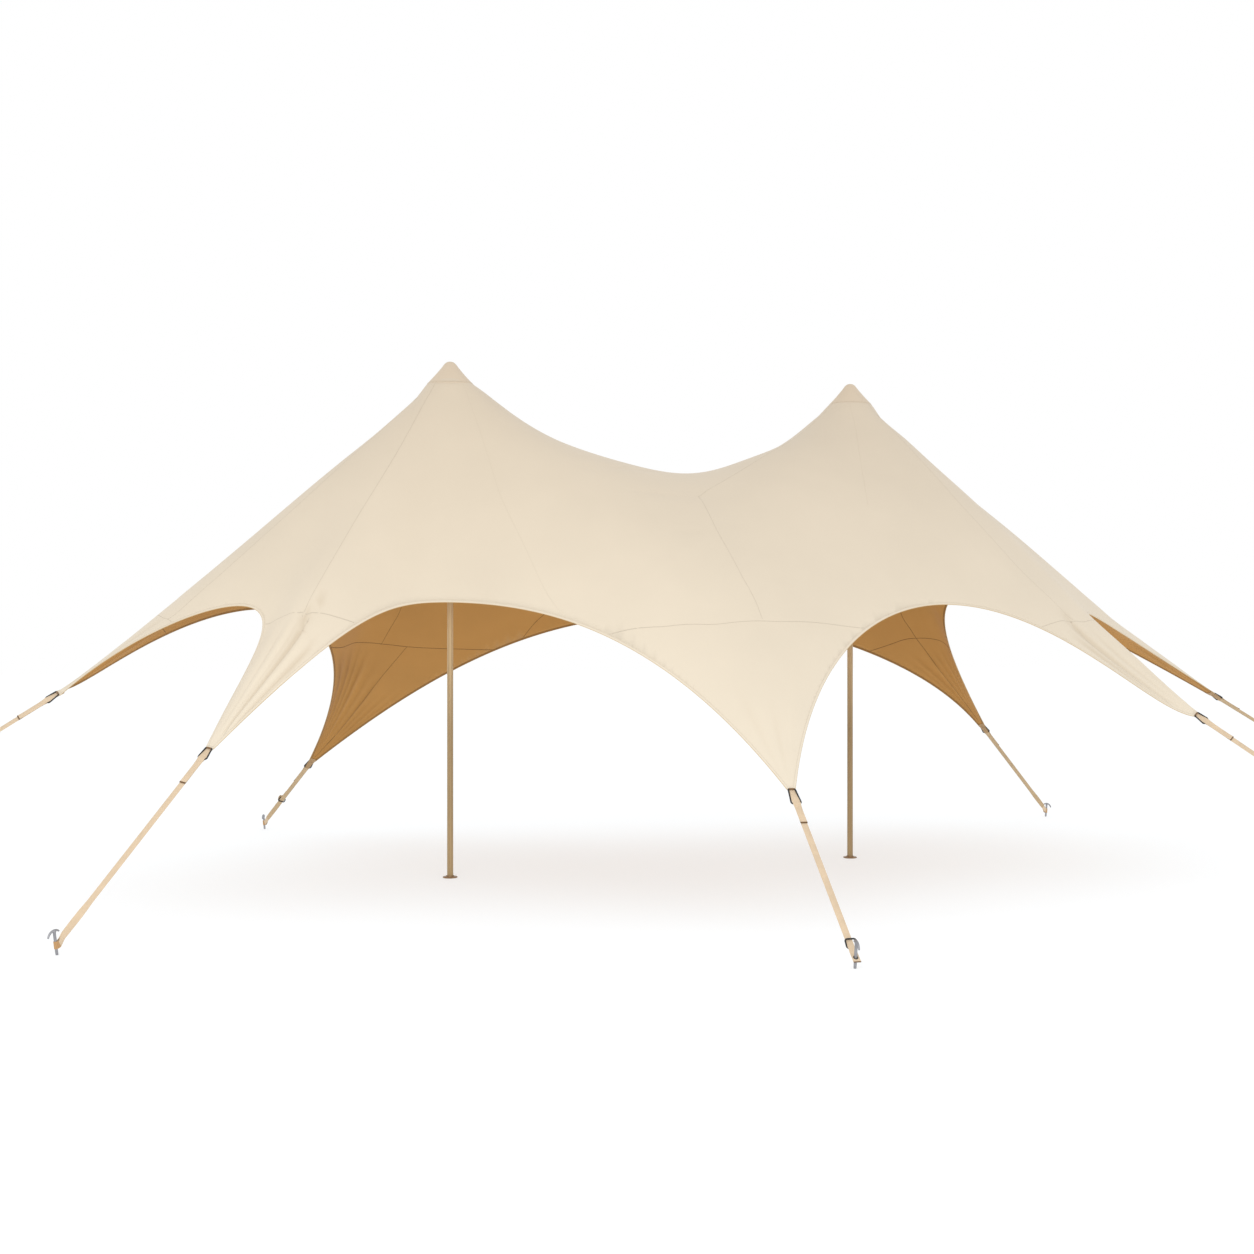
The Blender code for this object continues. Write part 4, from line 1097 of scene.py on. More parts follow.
def add_floor():
    nodes = Nodes("floor_pale", (0.435, 0.455, 0.47), 0.95)
    nodes.shader.inputs["Specular IOR Level"].default_value = 0.0
    nodes.shader.inputs["Emission Color"].default_value = (1.0, 1.0, 1.0, 1.0)
    nodes.shader.inputs["Emission Strength"].default_value = 0.58
    mesh = bpy.data.meshes.new("floor")
    corners = [(x * FLOOR_HALF, y * FLOOR_HALF, 0) for x, y in ((-1, -1), (1, -1), (1, 1), (-1, 1))]
    mesh.from_pydata(corners, [], [(0, 1, 2, 3)])
    mesh.materials.append(nodes.material)
    floor = bpy.data.objects.new("floor", mesh)
    bpy.context.scene.collection.objects.link(floor)
    floor.location.z = -0.0005


def add_light(name, place, aim, size, power, colour):
    lamp = bpy.data.lights.new(name, "AREA")
    lamp.shape = "DISK"
    lamp.size = size
    lamp.energy = power
    lamp.color = colour
    item = bpy.data.objects.new(name, lamp)
    item.location = Vector(place) + Vector((0.0, SET_BACK, 0.0))
    item.rotation_euler = (Vector(aim) - Vector(place)).to_track_quat("-Z", "Y").to_euler()
    bpy.context.scene.collection.objects.link(item)


def add_world(strength):
    world = bpy.data.worlds.new("studio")
    world.use_nodes = True
    back = world.node_tree.nodes["Background"]
    back.inputs["Color"].default_value = (1.0, 1.0, 1.0, 1.0)
    back.inputs["Strength"].default_value = strength
    bpy.context.scene.world = world


CAMERA_PLACE = (-4.2246, -10.645, 1.692)
CAMERA_AIM = (0.312, 0.95, 0.0)
SENSOR = 36.0
PICTURE_PIXELS = 1254.0
FOCAL_PIXELS = 1548.0
HORIZON_PIXELS = 8.0


def add_camera():
    data = bpy.data.cameras.new("camera")
    data.sensor_width = SENSOR
    data.lens = SENSOR * FOCAL_PIXELS / PICTURE_PIXELS
    data.shift_y = HORIZON_PIXELS / PICTURE_PIXELS
    item = bpy.data.objects.new("camera", data)
    item.location = Vector(CAMERA_PLACE) + Vector((0.0, SET_BACK, 0.0))
    item.rotation_euler = Vector(CAMERA_AIM).to_track_quat("-Z", "Y").to_euler()
    bpy.context.scene.collection.objects.link(item)
    bpy.context.scene.camera = item


# Hems round the free edges

HEM_WIDE = 0.017
HEM_PROFILE = ((HEM_WIDE, 0.0006), (HEM_WIDE - 0.0006, 0.0018), (0.003, 0.0021), (0.0, 0.0023),
               (-0.0018, 0.0013), (-0.0024, 0.0), (-0.0018, -0.0013), (0.0, -0.0023),
               (0.003, -0.0021), (HEM_WIDE - 0.0006, -0.0018), (HEM_WIDE, -0.0006))
HEM_SLOTS = (0, 0, 0, 2, 2, 2, 2, 1, 1, 1, 0)
HEM_PROBE = 0.02
HEM_DRAPE = 0.01
HEM_CORNER_RISE = 0.0005


def hem_rows(tree, path, inside, extra=0.0):
    tangent = tangents(path)
    ways = [unit(np.array((-t[1], t[0], 0.0))) for t in tangent] if inside is None else [inside] * len(path)
    hits = [tree.find_nearest(Vector(p + way * HEM_PROBE)) for p, way in zip(path, ways)]
    normal = np.array([tuple(hit[1]) for hit in hits])
    normal[normal[:, 2] < 0] *= -1.0
    normal = units(smoothed(normal, 4))
    rows = []
    for p, t, n in zip(path, tangent, normal):
        inward = unit(np.cross(n, t))
        row = []
        for deep, tall in HEM_PROFILE:
            base = p + inward * deep
            if deep > HEM_DRAPE:
                base = np.array(tree.find_nearest(Vector(base))[0])
            row.append(base + n * (tall + math.copysign(extra, tall)))
        rows.append(row)
    return rows


def add_hems(tree, materials):
    across = [deep for deep, _ in HEM_PROFILE]
    pieces = []
    for index, name in enumerate(ARM_NAMES):
        build = Build()
        path = arch_line(index)
        build.tube(hem_rows(tree, path, None), HEM_SLOTS, path_length(path), across)
        strap = Strap(name)
        shares = np.linspace(-0.97, 0.97, 15)
        nose = np.clip((1.0 - np.abs(shares)) / 0.34, 0.0, 1.0) * CORNER_NOSE
        path = strap.spot(nose[:, None], 0.0, (shares * CORNER_HALF)[:, None])
        build.tube(hem_rows(tree, path, -strap.along, HEM_CORNER_RISE), HEM_SLOTS, path_length(path), across)
        pieces.append(build.make("hem_" + name, materials))
    return pieces


# Seams draped on both faces of the sheet

SEAM_HALF = 0.002
SEAM_PROFILE = ((-SEAM_HALF, -0.0004), (-0.0015, 0.0005), (0.0, 0.0007), (0.0015, 0.0005),
                (SEAM_HALF, -0.0004))


def drop(tree, spot):
    return tree.ray_cast(Vector((spot[0], spot[1], FAR)), Vector((0.0, 0.0, -1.0)))


def add_seams(tree, materials):
    step = SEAM_STEP
    outer = Build()
    inner = Build()
    across = [offset for offset, _ in SEAM_PROFILE]
    rises = np.array([tall for _, tall in SEAM_PROFILE])[:, None]
    for path in NECK_SEAMS + CENTRE_SEAMS + RIDGE_SEAMS:
        line = even_line(path, step, 5)
        slot = 1 if path in FAINT_SEAMS else 0
        upper = []
        lower = []
        middle = []
        for place, way in zip(line, tangents(line)):
            side = np.array((-way[1], way[0]))
            hits = [drop(tree, place + side * offset) for offset in across]
            if any(hit[0] is None for hit in hits):
                continue
            spots = np.array([tuple(hit[0]) for hit in hits])
            normal = unit(np.mean([tuple(hit[1]) for hit in hits], axis=0))
            upper.append(spots + normal * (SHEET_HALF + rises))
            lower.append(spots - normal * (SHEET_HALF + rises))
            middle.append(spots[2])
        if len(upper) < 2:
            continue
        lengths = path_length(np.array(middle))
        outer.tube(upper, slot, lengths, across)
        inner.tube(lower, 0, lengths, across)
    return [outer.make("seams_outer", materials[:2]),
            inner.make("seams_inner", materials[2:])]


# Doubled fabric caps over the peaks: reach from the pole and height over the sheet of their lower edge

COVER_EDGE = ((0.1605, -0.0006), (0.16, 0.0014), (0.156, 0.002))
COVER_THICK = 0.0022
COVER_SIDES = 96
COVER_RADIUS = 0.16


def add_caps(tree, material):
    turns = [2 * math.pi * k / COVER_SIDES for k in range(COVER_SIDES)]
    ways = [np.array((math.cos(a), math.sin(a))) for a in turns]
    pieces = []
    for label, centre_x in zip(("left", "right"), POLE_X):
        centre = np.array((centre_x, 0.0))
        rows = []
        for reach, rise in COVER_EDGE:
            hits = [drop(tree, centre + way * reach) for way in ways]
            rows.append([np.array(hit[0]) + np.array(hit[1]) * (SHEET_HALF + rise) for hit in hits])
        for radius, rise in CAP_PROFILE[1:]:
            reach = radius + COVER_THICK * 0.75
            level = CAP_SEAM_Z + rise + COVER_THICK * 0.66
            rows.append([np.array((*(centre + way * reach), level)) for way in ways])
        top = np.array((centre_x, 0.0, CAP_SEAM_Z + CAP_TIP_RISE + COVER_THICK))
        rows.append([top + np.array((*(way * 0.002), -0.0001)) for way in ways])
        build = Build()
        lengths = path_length(np.array([row[0] for row in rows]))
        build.tube(rows, 0, lengths, [a * COVER_RADIUS for a in turns])
        build.along, build.across = build.across, build.along
        pieces.append(build.make("cap_cover_" + label, (material,)))
    return pieces


# Flat webbing

def spline(points, step):
    points = np.array(points, float)
    ends = np.concatenate((points[:1] * 2 - points[1:2], points, points[-1:] * 2 - points[-2:-1]))
    rows = []
    for i in range(len(points) - 1):
        a, b, c, d = ends[i:i + 4]
        count = max(1, int(math.ceil(np.linalg.norm(c - b) / step)))
        for k in range(count):
            t = k / count
            rows.append(0.5 * (2 * b + (c - a) * t + (2 * a - 5 * b + 4 * c - d) * t ** 2
                               + (3 * b - a - 3 * c + d) * t ** 3))
    rows.append(points[-1])
    return np.array(rows)


PLAIN_SLOTS = (0,) * 10
LOOP_SLOTS = (4,) * 10
# Painted shade on the webbing's underside faces.
UNDER_SHADE_SLOTS = (2,) * 4 + (0,) * 6
# Painted shade on the underside of the tab and strap next to the corner.
INNER_SHADE_SLOTS = (3,) * 4 + (0,) * 6
BAND_PROFILE = ((-1.0, -0.45), (-0.94, -1.0), (0.0, -1.0), (0.94, -1.0), (1.0, -0.45),
                (1.0, 0.45), (0.94, 1.0), (0.0, 1.0), (-0.94, 1.0), (-1.0, 0.45))


def band(build, centres, wides, thicks, half_wide, half_thick, slots=0, changes=()):
    rows = [[centre + wide * (half_wide * x) + thick * (half_thick * y) for x, y in BAND_PROFILE]
            for centre, wide, thick in zip(centres, wides, thicks)]
    lengths = path_length(np.array(centres))
    build.tube(rows, slots, lengths, [half_wide * x for x, _ in BAND_PROFILE], changes=changes)


def flat_band(build, strap, route, half_wide, half_thick, step=0.004, slots=0, later=None, spread=None):
    line = spline(route, step)
    centres = [strap.spot(s, h) for s, h in line]
    thicks = [strap.up * r[0] - strap.along * r[1] for r in tangents(line)]
    changes = ((int(np.argmax(line[:, 0] > later[0])), later[1]),) if later else ()
    wides = [strap.across] * len(centres)
    if spread:
        first, last, amount = spread
        wides = [strap.across * (amount + (1.0 - amount) * smooth_step(first, last, s)) for s in line[:, 0]]
    band(build, centres, wides, thicks, half_wide, half_thick, slots, changes)


TAB_HALF = 0.0203
WEB_HALF = 0.019
WEB_THICK = 0.0011
FOLD_HALF = 0.0168
FOLD_RADIUS = 0.0054
LEG_LENGTH = 0.07
LEG_PINCH = 0.22
LEG_LIFT = 0.0013
LOOP_CLEAR = 0.0018
LOOP_FLANK = 0.012
FLAP_FOLD = 0.004
LOOP_SPREAD = 0.08
TWIST_REST = 0.045
BODY_START = 0.15


def add_tab(name, materials):
    strap = Strap(name)
    end = TAIL_END
    bar = RING_ENDS[name]
    build = Build()
    flat_band(build, strap, ((-0.03, -0.0036), (-0.01, -0.0028), (0.004, -0.001), (0.014, 0.0002),
                             (0.045, 0.0012), (bar - 0.016, 0.003), (bar - 0.007, 0.0049), (bar, 0.0056),
                             (bar + 0.007, 0.005), (bar + 0.017, 0.0037), (bar + 0.04, 0.0031),
                             (0.2, 0.0029), (0.262, 0.0034), (end - 0.006, 0.005)),
              TAB_HALF, WEB_THICK, 0.004, INNER_SHADE_SLOTS, (bar, UNDER_SHADE_SLOTS), (bar - 0.03, bar + 0.07, 1.2))
    # The folded tail end, in slot 1: painted shade.
    flat_band(build, strap, ((end - 0.0062, 0.005), (end - 0.002, 0.0053), (end + 0.0004, 0.0046),
                             (end + 0.001, 0.0034), (end - 0.0002, 0.0022), (end - 0.004, 0.0019),
                             (end - 0.024, 0.0012)), TAB_HALF + 0.0001, WEB_THICK + 0.0001, 0.0012, 1)
    add_fold(build, strap)
    return build.make("tab_" + name, materials)


# The webbing wrapped round the ring's top bar, in a dark brown that is painted shade.
def add_fold(build, strap):
    rows = []
    for place, full in ((-1.0, 0.72), (-0.97, 0.93), (-0.9, 1.0), (-0.3, 1.0), (0.3, 1.0), (0.9, 1.0),
                        (0.97, 0.93), (1.0, 0.72)):
        centre = strap.spot(RING_TOP, RING_RISE, FOLD_HALF * place)
        rows.append(round_row(centre, strap.along, strap.up, FOLD_RADIUS * full, FOLD_RADIUS * full, 16))
    build.tube(rows, 5, [FOLD_HALF * k / 4 for k in range(8)])


def strap_start(name):
    bar = RING_ENDS[name]
    return [(0.02, -0.003), (bar - 0.03, -0.0033), (bar - 0.01, -0.0044), (bar, -0.0057),
            (bar + 0.01, -0.0045), (bar + 0.022, -0.0024), (bar + 0.05, -0.001)]


def twist_frame(strap, place):
    first, last = ROLLS[strap.name]
    plain_end = strap.length - TWIST_LENGTH
    amount = min(1.0, max(0.0, (place - plain_end) / (strap.length - plain_end - TWIST_REST)))
    turn = amount * math.radians(last - first)
    wide = strap.across * math.cos(turn) + strap.up * math.sin(turn)
    thick = strap.up * math.cos(turn) - strap.across * math.sin(turn)
    return wide, thick


def loop_leg(start, start_way, end, end_way, count):
    """Half of the webbing's eye, a smooth curve from the strap to the flank of the shaft."""
    reach = 0.9 * np.linalg.norm(end - start)
    rows = []
    for t in np.linspace(0.0, 1.0, count):
        keep = 2 * t ** 3 - 3 * t ** 2 + 1
        rows.append(start * keep + end * (1 - keep) + start_way * (reach * (t ** 3 - 2 * t ** 2 + t))
                    + end_way * (reach * (t ** 3 - t ** 2)))
    return rows


def add_looped_strap(name, materials):
    strap = Strap(name)
    corner, along, target = strap.corner, strap.along, strap.target
    shaft = unit(peg_axis(name)[1])
    way = unit(along - shaft * (along @ shaft))
    side = peg_plan(name)[1]
    sign = 1.0 if ROLLS[name][1] > 0 else -1.0
    first = spline(strap_start(name), 0.006)
    switch = int(np.argmax(first[:, 0] > RING_ENDS[name]))
    centres = [strap.spot(s, h) for s, h in first]
    wides = [strap.across] * len(first)
    thicks = [strap.up] * len(first)
    stop = strap.length - LEG_LENGTH
    for s in np.linspace(BODY_START, stop, max(8, int((stop - BODY_START) / 0.02))):
        wide, thick = twist_frame(strap, s)
        rest = -0.001 if s < TAIL_END + 0.02 else -0.0003
        back = smooth_step(stop - 0.1, stop, s)
        centres.append(corner + along * s + thick * (rest * (1 - back) - LEG_LIFT * back))
        wides.append(wide)
        thicks.append(thick)
    leg = len(centres)
    last_wide, last_thick = twist_frame(strap, stop)
    radius = SHAFT_RADIUS + LOOP_CLEAR
    near = -side * (sign * radius)
    flank = target - way * LOOP_FLANK
    middle = corner + along * stop
    legs = [loop_leg(middle - last_thick * LEG_LIFT, along, flank + near * 0.97, way, 9)[1:],
            loop_leg(middle + last_thick * LEG_LIFT, along, flank - near * 0.97, way, 9)[::-1]]
    turned = [target + way * (radius * math.sin(a)) + near * math.cos(a)
              for a in np.radians(np.arange(0, 181, 15))]
    path = np.array(legs[0] + turned + legs[1])
    half = len(legs[0])
    for k, (centre, run) in enumerate(zip(path, np.gradient(path, axis=0))):
        share = smooth_step(0.0, 1.0, min(k, len(path) - 1 - k) / half)
        wide = last_wide * (1 - share) + shaft * (sign * share)
        tangent = unit(run)
        wide = unit(wide - tangent * (wide @ tangent))
        wide = wide * (1.0 - LEG_PINCH * math.sin(math.pi * share) + LOOP_SPREAD * share)
        centres.append(centre)
        wides.append(wide)
        thicks.append(np.cross(tangent, unit(wide)))
    for s in np.linspace(stop - 0.006, stop - 0.036, 6):
        wide, thick = twist_frame(strap, s)
        centres.append(corner + along * s + thick * LEG_LIFT)
        wides.append(wide)
        thicks.append(-thick)
    for ways in (wides, thicks):
        for k in range(1, len(ways)):
            if ways[k] @ ways[k - 1] < 0:
                ways[k] = -ways[k]
    changes = ((switch, UNDER_SHADE_SLOTS), (leg, PLAIN_SLOTS), (leg + half - 2, LOOP_SLOTS),
               (leg + half + len(turned) + 1, PLAIN_SLOTS))
    build = Build()
    band(build, centres, wides, thicks, WEB_HALF, WEB_THICK, INNER_SHADE_SLOTS, changes)
    return build.make("webbing_" + name, materials)


def plate_with_hole(build, strap, first, last, half_wide, low, high, radius, slots):
    length = strap.length
    fold = last - FLAP_FOLD
    outline = [(first, -half_wide), (fold, -half_wide), (last, -half_wide), (last, half_wide),
               (fold, half_wide), (first, half_wide)]
    hole = [(length + radius * math.cos(a), radius * math.sin(a)) for a in circle(32)]
    flat = [Vector(p) for p in outline + hole]
    edges = [(i, (i + 1) % len(outline)) for i in range(len(outline))]
    base = len(outline)
    edges += [(base + i, base + (i + 1) % len(hole)) for i in range(len(hole))]
    edges.append((1, 4))
    verts, _, faces, *_ = delaunay_2d_cdt(flat, edges, [], 0, 1e-7)
    kept = []
    for face in faces:
        middle = sum((Vector(verts[i]) for i in face), Vector((0.0, 0.0))) / len(face)
        if (middle - Vector((length, 0.0))).length > radius * 0.98:
            kept.append(tuple(face))
    start = len(build.points)
    count = len(verts)
    for level in (high, low):
        for v in verts:
            lift = 0.004 * max(0.0, (v[0] - length) / (last - length)) ** 2
            build.points.append(tuple(strap.spot(v[0], level + lift, v[1])))
            build.along.append(float(v[0]))
            build.across.append(float(v[1]))
    used = set()
    for face in kept:
        middle = sum(verts[i][0] for i in face) / len(face)
        slot = slots[1] if middle > fold else slots[0]
        build.faces.append(tuple(start + i for i in face))
        build.faces.append(tuple(start + count + i for i in reversed(face)))
        build.slots.extend((slot, slot))
        used.update((face[i], face[(i + 1) % len(face)]) for i in range(len(face)))
    for a, b in sorted(used):
        if (b, a) not in used:
            slot = slots[1] if min(verts[a][0], verts[b][0]) > last - 0.0045 else slots[0]
            build.faces.append((start + b, start + a, start + count + a, start + count + b))
            build.slots.append(slot)


def add_pierced_strap(name, materials):
    strap = Strap(name)
    length = strap.length
    build = Build()
    route = strap_start(name) + [(TAIL_END, -0.0008), (0.45, 0.0), (length * 0.6, 0.0), (length - 0.12, 0.0),
                                 (length - 0.02, 0.0)]
    flat_band(build, strap, route, WEB_HALF, WEB_THICK, 0.012, UNDER_SHADE_SLOTS)
    # The flap's folded end takes slot 1: painted shade.
    plate_with_hole(build, strap, length - FLAP_BACK, length + FLAP_END, WEB_HALF + 0.0008,
                    -0.0014, 0.0042, 0.0098, (0, 1))
    return build.make("webbing_" + name, materials)


# The curl of the back left tail: places from the slider and heights over the strap

CURL = ((-0.115, 0.0024), (-0.07, 0.003), (-0.04, 0.012), (-0.018, 0.033), (0.004, 0.046),
        (0.026, 0.043), (0.036, 0.026), (0.028, 0.009), (0.04, 0.003), (0.062, 0.0034), (0.085, 0.009))


def add_curl(materials):
    strap = Strap("back_left")
    middle = strap.length * SLIDER_SHARE
    build = Build()
    route = [(middle + far, high) for far, high in CURL]
    flat_band(build, strap, route, WEB_HALF + 0.0004, WEB_THICK, 0.004, UNDER_SHADE_SLOTS)
    return build.make("curl_back_left", materials)


# Black rings

PEG_RING_SHIFT = 0.0085
RING_PARTS = 8


def ring_piece(piece, name, node, first, last, halves, corners, material, shift=0.0):
    strap = Strap(name)
    across = strap.across
    start = strap.spot(*first, shift)
    end = strap.spot(*last, shift)
    run = end - start
    half_long = np.linalg.norm(run) / 2
    long = run / (2 * half_long)
    normal = np.cross(long, across)
    centre = (start + end) / 2
    path = []
    for quarter in range(4):
        sx = (1, -1, -1, 1)[quarter]
        sy = (1, 1, -1, -1)[quarter]
        half_wide = halves[1] if sy > 0 else halves[0]
        corner_radius = corners[1] if sy > 0 else corners[0]
        for k in range(RING_PARTS + 1):
            a = math.pi / 2 * (quarter + k / RING_PARTS)
            x = sx * (half_wide - corner_radius) + corner_radius * math.cos(a)
            y = sy * (half_long - corner_radius) + corner_radius * math.sin(a)
            path.append(centre + across * x + long * y)
    path = np.array(path)
    rows = []
    for i in range(len(path)):
        tangent = unit(path[(i + 1) % len(path)] - path[i - 1])
        outward = unit(np.cross(tangent, normal))
        rows.append(round_row(path[i], outward, normal, RING_WIRE, RING_WIRE, 16))
    build = Build()
    build.tube(rows, 0, path_length(path), None, closed=True)
    item = build.make(piece, (material,))
    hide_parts(node)
    return item


def add_rings(material):
    for name in ARM_NAMES:
        ring_piece("buckle_" + name, name, "ring_" + name, (RING_TOP, RING_RISE), (RING_ENDS[name], 0.0),
                   RING_HALVES, RING_CORNERS, material)
    middle = Strap("front").length - PEG_RING_BACK
    ring_piece("buckle_front_peg", "front", "ring_front_peg", (middle - PEG_RING_HALF_LONG, THREAD_RISE),
               (middle + PEG_RING_HALF_LONG, -THREAD_RISE), (PEG_RING_HALF_WIDE - 0.0025,) * 2,
               (0.014, 0.014), material, PEG_RING_SHIFT)
    middle = Strap("back_left").length * SLIDER_SHARE
    ring_piece("buckle_slider", "back_left", "slider_back_left", (middle - SLIDER_HALF_LONG, THREAD_RISE),
               (middle + SLIDER_HALF_LONG, -THREAD_RISE), (SLIDER_HALF_WIDE,) * 2, (0.01, 0.01), material)


def add_eyelet(material):
    strap = Strap("front")
    build = Build()
    for level in (0.0044, -0.0018):
        rows = []
        for a in circle(40):
            way = strap.along * math.cos(a) + strap.across * math.sin(a)
            centre = strap.spot(strap.length, level) + way * 0.0114
            rows.append(round_row(centre, way, strap.up, 0.0024, 0.0011, 12))
        build.tube(rows, 0, None, None, closed=True)
    return build.make("eyelet_front", (material,))


# Pegs

def handle_frame(name):
    out, side = peg_plan(name)
    foot, lean = peg_axis(name)
    shaft = unit(lean)
    turn = math.radians(PEGS[name][2])
    reach = out * math.cos(turn) + side * math.sin(turn)
    return foot + lean - shaft * HANDLE_RADIUS, shaft, unit(reach - shaft * (reach @ shaft))


def add_peg(name, material):
    foot, lean = peg_axis(name)
    height = PEGS[name][1]
    hub, shaft, reach = handle_frame(name)
    front = np.cross(reach, shaft)
    build = Build()
    rows = []
    for level, radius in ((0.0, 0.0068), (0.003, 0.0076), (0.012, SHAFT_RADIUS), (height * 0.5, SHAFT_RADIUS),
                          (height - 0.02, SHAFT_RADIUS), (height - 0.014, 0.0086), (height - 0.009, 0.0098),
                          (height - 0.005, 0.01), (height - 0.002, 0.0086)):
        rows.append(round_row(foot + lean * (level / height), *np.eye(3)[:2], radius, radius, 24))
    build.tube(rows)
    rows = []
    ends = [(1.0, 0.25), (0.994, 0.62), (0.98, 0.88), (0.96, 1.0)]
    stations = [(-a, f) for a, f in ends] + [(a, 1.0) for a in np.linspace(-0.9, 0.9, 25)] + ends[::-1]
    for amount, full in stations:
        a = math.radians(HANDLE_START + (HANDLE_END - HANDLE_START) * (amount + 1.0) / 2.0)
        outward = reach * math.sin(a) + shaft * math.cos(a)
        wire = HANDLE_WIRE * (1.0 - 0.35 * abs(amount) ** 3) * full
        rows.append(round_row(hub + outward * HANDLE_RADIUS, outward, front, wire, wire, 16))
    build.tube(rows)
    item = build.make("stake_" + name, (material,))
    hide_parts("peg_" + name)
    return item


# Poles and feet

def turned_rows(profile, centre_x, turns, groove=None):
    rows = []
    for radius, z in profile:
        row = []
        for a in turns:
            r = radius if groove is None or not radius else radius - groove(a, z)
            row.append(np.array((centre_x + r * math.cos(a), r * math.sin(a), z)))
        rows.append(row)
    return rows


GROOVES = 8
GROOVE_DEEP = 0.0009
GROOVE_TURN = math.radians(4.2)


def groove_turns():
    turns = []
    for k in range(GROOVES):
        middle = 2 * math.pi * (k + 0.5) / GROOVES
        turns += [middle + GROOVE_TURN * share for share in (-1.0, -0.55, 0.55, 1.0)]
        gap = 2 * math.pi / GROOVES - 2 * GROOVE_TURN
        turns += [middle + GROOVE_TURN + gap * j / 6 for j in range(1, 6)]
    return sorted(t % (2 * math.pi) for t in turns)


def groove_depth(angle, z):
    if z > HEAD_BASE_Z - 0.02 or z < POLE_BOTTOM + 0.001:
        return 0.0
    share = (angle / (2 * math.pi) * GROOVES) % 1.0 - 0.5
    return GROOVE_DEEP if abs(share) * 2 * math.pi / GROOVES < GROOVE_TURN * 0.8 else 0.0


def add_pole(label, centre_x, material):
    build = Build()
    profile = [(POLE_RADIUS - 0.0008, POLE_BOTTOM), (POLE_RADIUS, POLE_BOTTOM + 0.0012)]
    profile += [(POLE_RADIUS, z) for z in (0.04, 0.7, 1.4, 2.1, 2.8, 3.44)]
    profile += [(POLE_RADIUS, HEAD_BASE_Z - 0.012), (POLE_RADIUS, HEAD_BASE_Z),
                (HEAD_RADIUS - 0.004, HEAD_BASE_Z + 0.003), (HEAD_RADIUS, HEAD_BASE_Z + 0.012),
                (HEAD_RADIUS, HEAD_TOP_Z - 0.026), (0.0325, HEAD_TOP_Z - 0.017),
                (0.027, HEAD_TOP_Z - 0.0105), (0.02, HEAD_TOP_Z - 0.006),
                (0.012, HEAD_TOP_Z - 0.0026), (0.004, HEAD_TOP_Z - 0.0016)]
    build.tube(turned_rows(profile, centre_x, groove_turns(), groove_depth))
    item = build.make("mast_" + label, (material,), 30.0)
    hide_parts("pole_" + label)
    return item


def add_foot(label, centre_x, material):
    bore = POLE_RADIUS + 0.0004
    profile = [(FOOT_RADIUS - 0.002, 0.0), (FOOT_RADIUS - 0.0006, 0.0006), (FOOT_RADIUS, 0.002),
               (FOOT_RADIUS, FOOT_THICK - 0.0026), (FOOT_RADIUS - 0.0007, FOOT_THICK - 0.0008),
               (FOOT_RADIUS - 0.0024, FOOT_THICK), (SOCKET_RADIUS + 0.0032, FOOT_THICK + 0.0005),
               (SOCKET_RADIUS + 0.0012, FOOT_THICK + 0.0014), (SOCKET_RADIUS + 0.0002, FOOT_THICK + 0.003),
               (SOCKET_RADIUS, FOOT_THICK + 0.0045), (SOCKET_RADIUS, SOCKET_HEIGHT - 0.0018),
               (SOCKET_RADIUS - 0.0006, SOCKET_HEIGHT - 0.0006), (SOCKET_RADIUS - 0.002, SOCKET_HEIGHT),
               (bore + 0.0004, SOCKET_HEIGHT), (bore, SOCKET_HEIGHT - 0.0008), (bore, FOOT_THICK)]
    build = Build()
    build.tube(turned_rows(profile, centre_x, circle(96)))
    item = build.make("base_" + label, (material,), 30.0)
    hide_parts("foot_" + label)
    return item


# The scene

add_camera()
add_world(1.0)
add_floor()
add_light("front", (-6.0, -9.0, 3.5), (-0.5, -0.5, 1.2), 5.0, 225.0, (1.0, 0.985, 0.96))
add_light("right", (6.5, -8.0, 3.0), (2.2, -0.5, 1.6), 4.0, 75.0, (1.0, 0.985, 0.97))
bpy.context.scene.view_settings.view_transform = "Standard"

# Painted shade in the fold valleys and painted highlight on the ridges: the colours for the lowest and the
# highest folds.
CREAM_FOLD_SHADE = ((0.9, 0.875, 0.84), (1.02, 1.02, 1.01))
BROWN_FOLD_SHADE = ((0.78, 0.73, 0.64), (1.08, 1.08, 1.09))
# The brown inner face darker towards the bottom, below 1.15 m.
BROWN_FADE = (1.15, 0.35, (0.8, 0.73, 0.54))
HEM_STITCH = ((0.0135,), 0.008, 0.0008)
SEAM_STITCH = ((0.0,), 0.006, 0.0005)
CAP_STITCH = ((0.007, 0.011), 0.008, 0.0008)

outer = fabric_material("canopy_outer", CREAM, 1.02, 0.97, CREAM_PEAK_SHADE, None, CREAM_FOLD_SHADE)
inner = fabric_material("canopy_inner", BROWN, 1.06, 0.94, BROWN_FADE, None, BROWN_FOLD_SHADE)
rim = fabric_material("canopy_rim", shade(BROWN, 1.15), 1.02, 0.97)
hem_outer = fabric_material("hem_outer", shade(CREAM, 0.99), 1.02, 0.97, CREAM_PEAK_SHADE, HEM_STITCH)
hem_inner = fabric_material("hem_inner", shade(BROWN, 0.62), 1.06, 0.94, None, HEM_STITCH)
hem_edge = fabric_material("hem_edge", (0.56, 0.42, 0.24), 1.04, 0.95)
seam_outer = fabric_material("seam_outer", shade(CREAM, 0.9), 1.02, 0.97, CREAM_PEAK_SHADE, SEAM_STITCH)
seam_faint = fabric_material("seam_faint", shade(CREAM, 0.97), 1.02, 0.97, CREAM_PEAK_SHADE)
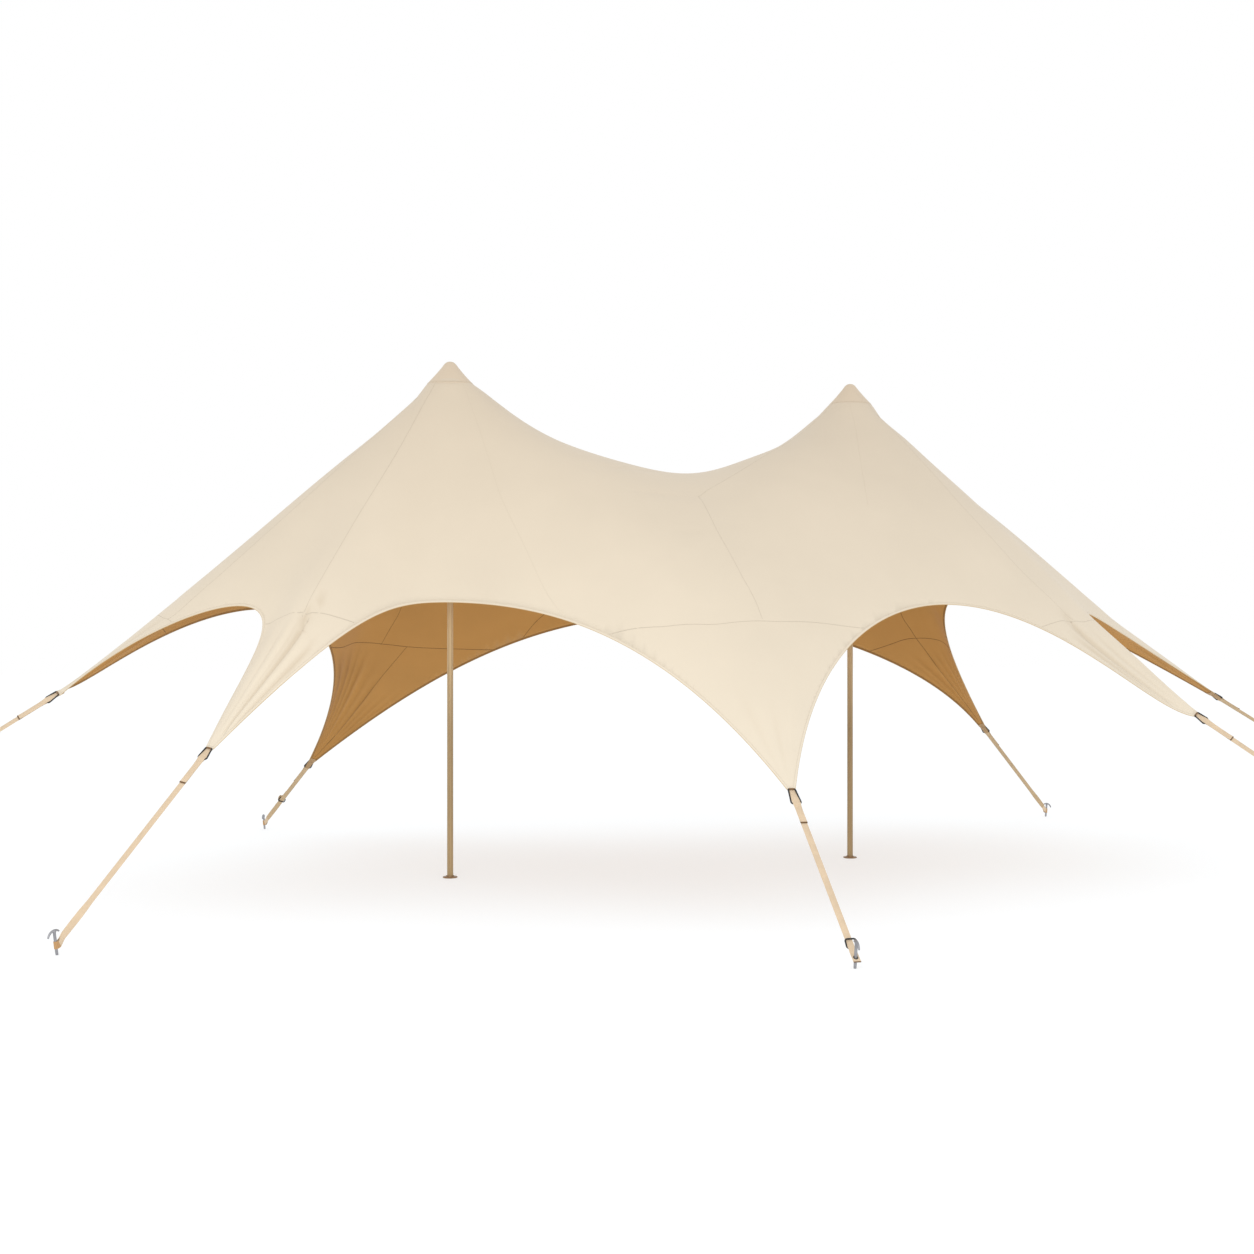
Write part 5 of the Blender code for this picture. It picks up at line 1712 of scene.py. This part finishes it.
seam_inner = fabric_material("seam_inner", shade(BROWN, 0.45), 1.06, 0.94)
cap_outer = fabric_material("cap_outer", (0.725, 0.625, 0.49), 1.02, 0.97, CREAM_PEAK_SHADE, CAP_STITCH)
bands = tuple(webbing_material(name, colour) for name, colour in WEBBING.items())
# The pole's tone darker towards the bottom, below 1.8 m.
bronze = metal_material("bronze", (0.66, 0.5, 0.29), 0.35, 0.34, 0.5, 260.0, 0.00015, (1.0, 1.0, 0.04),
                        fade=(1.8, 1.0, (0.56, 0.52, 0.46)))
plate = metal_material("bronze_plate", (0.3, 0.19, 0.105), 0.6, 0.34, 0.52, 200.0, 0.0002)
black = metal_material("black_coat", (0.005, 0.005, 0.0055), 0.0, 0.35, 0.55, 500.0, 0.0001,
                       wear=(0.03, 0.03, 0.03))
steel = metal_material("galvanised", (0.33, 0.33, 0.35), 0.85, 0.32, 0.55, 160.0, 0.0002)

surface, triangles, folds = canopy_surface()
points, faces, slots = sheet_solid(surface, triangles, SHEET_HALF)
canopy = add_object("canopy", points, faces, (outer, inner, rim), slots)
# Fold heights kept on the sheet; they drive the painted fold shade and highlight.
layer = canopy.data.attributes.new("fold", "FLOAT", "POINT")
layer.data.foreach_set("value", np.concatenate((folds, folds)).astype(np.float32))
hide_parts(*[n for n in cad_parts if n.startswith(("panel_", "arm_", "cap_"))])
tree = BVHTree.FromPolygons([tuple(p) for p in surface], [tuple(t) for t in triangles.tolist()])

with_canopy = add_hems(tree, (hem_outer, hem_inner, hem_edge))
with_canopy += add_seams(tree, (seam_outer, seam_faint, seam_inner))
with_canopy += add_caps(tree, cap_outer)

add_rings(black)
add_eyelet(black)
for name in ARM_NAMES:
    add_tab(name, bands)
    if name == "front":
        strap = add_pierced_strap(name, bands)
    else:
        strap = add_looped_strap(name, bands)
    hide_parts("strap_" + name)
    add_peg(name, steel)
add_curl(bands)
for label, centre_x in zip(("left", "right"), POLE_X):
    add_pole(label, centre_x, bronze).name
    add_foot(label, centre_x, plate)
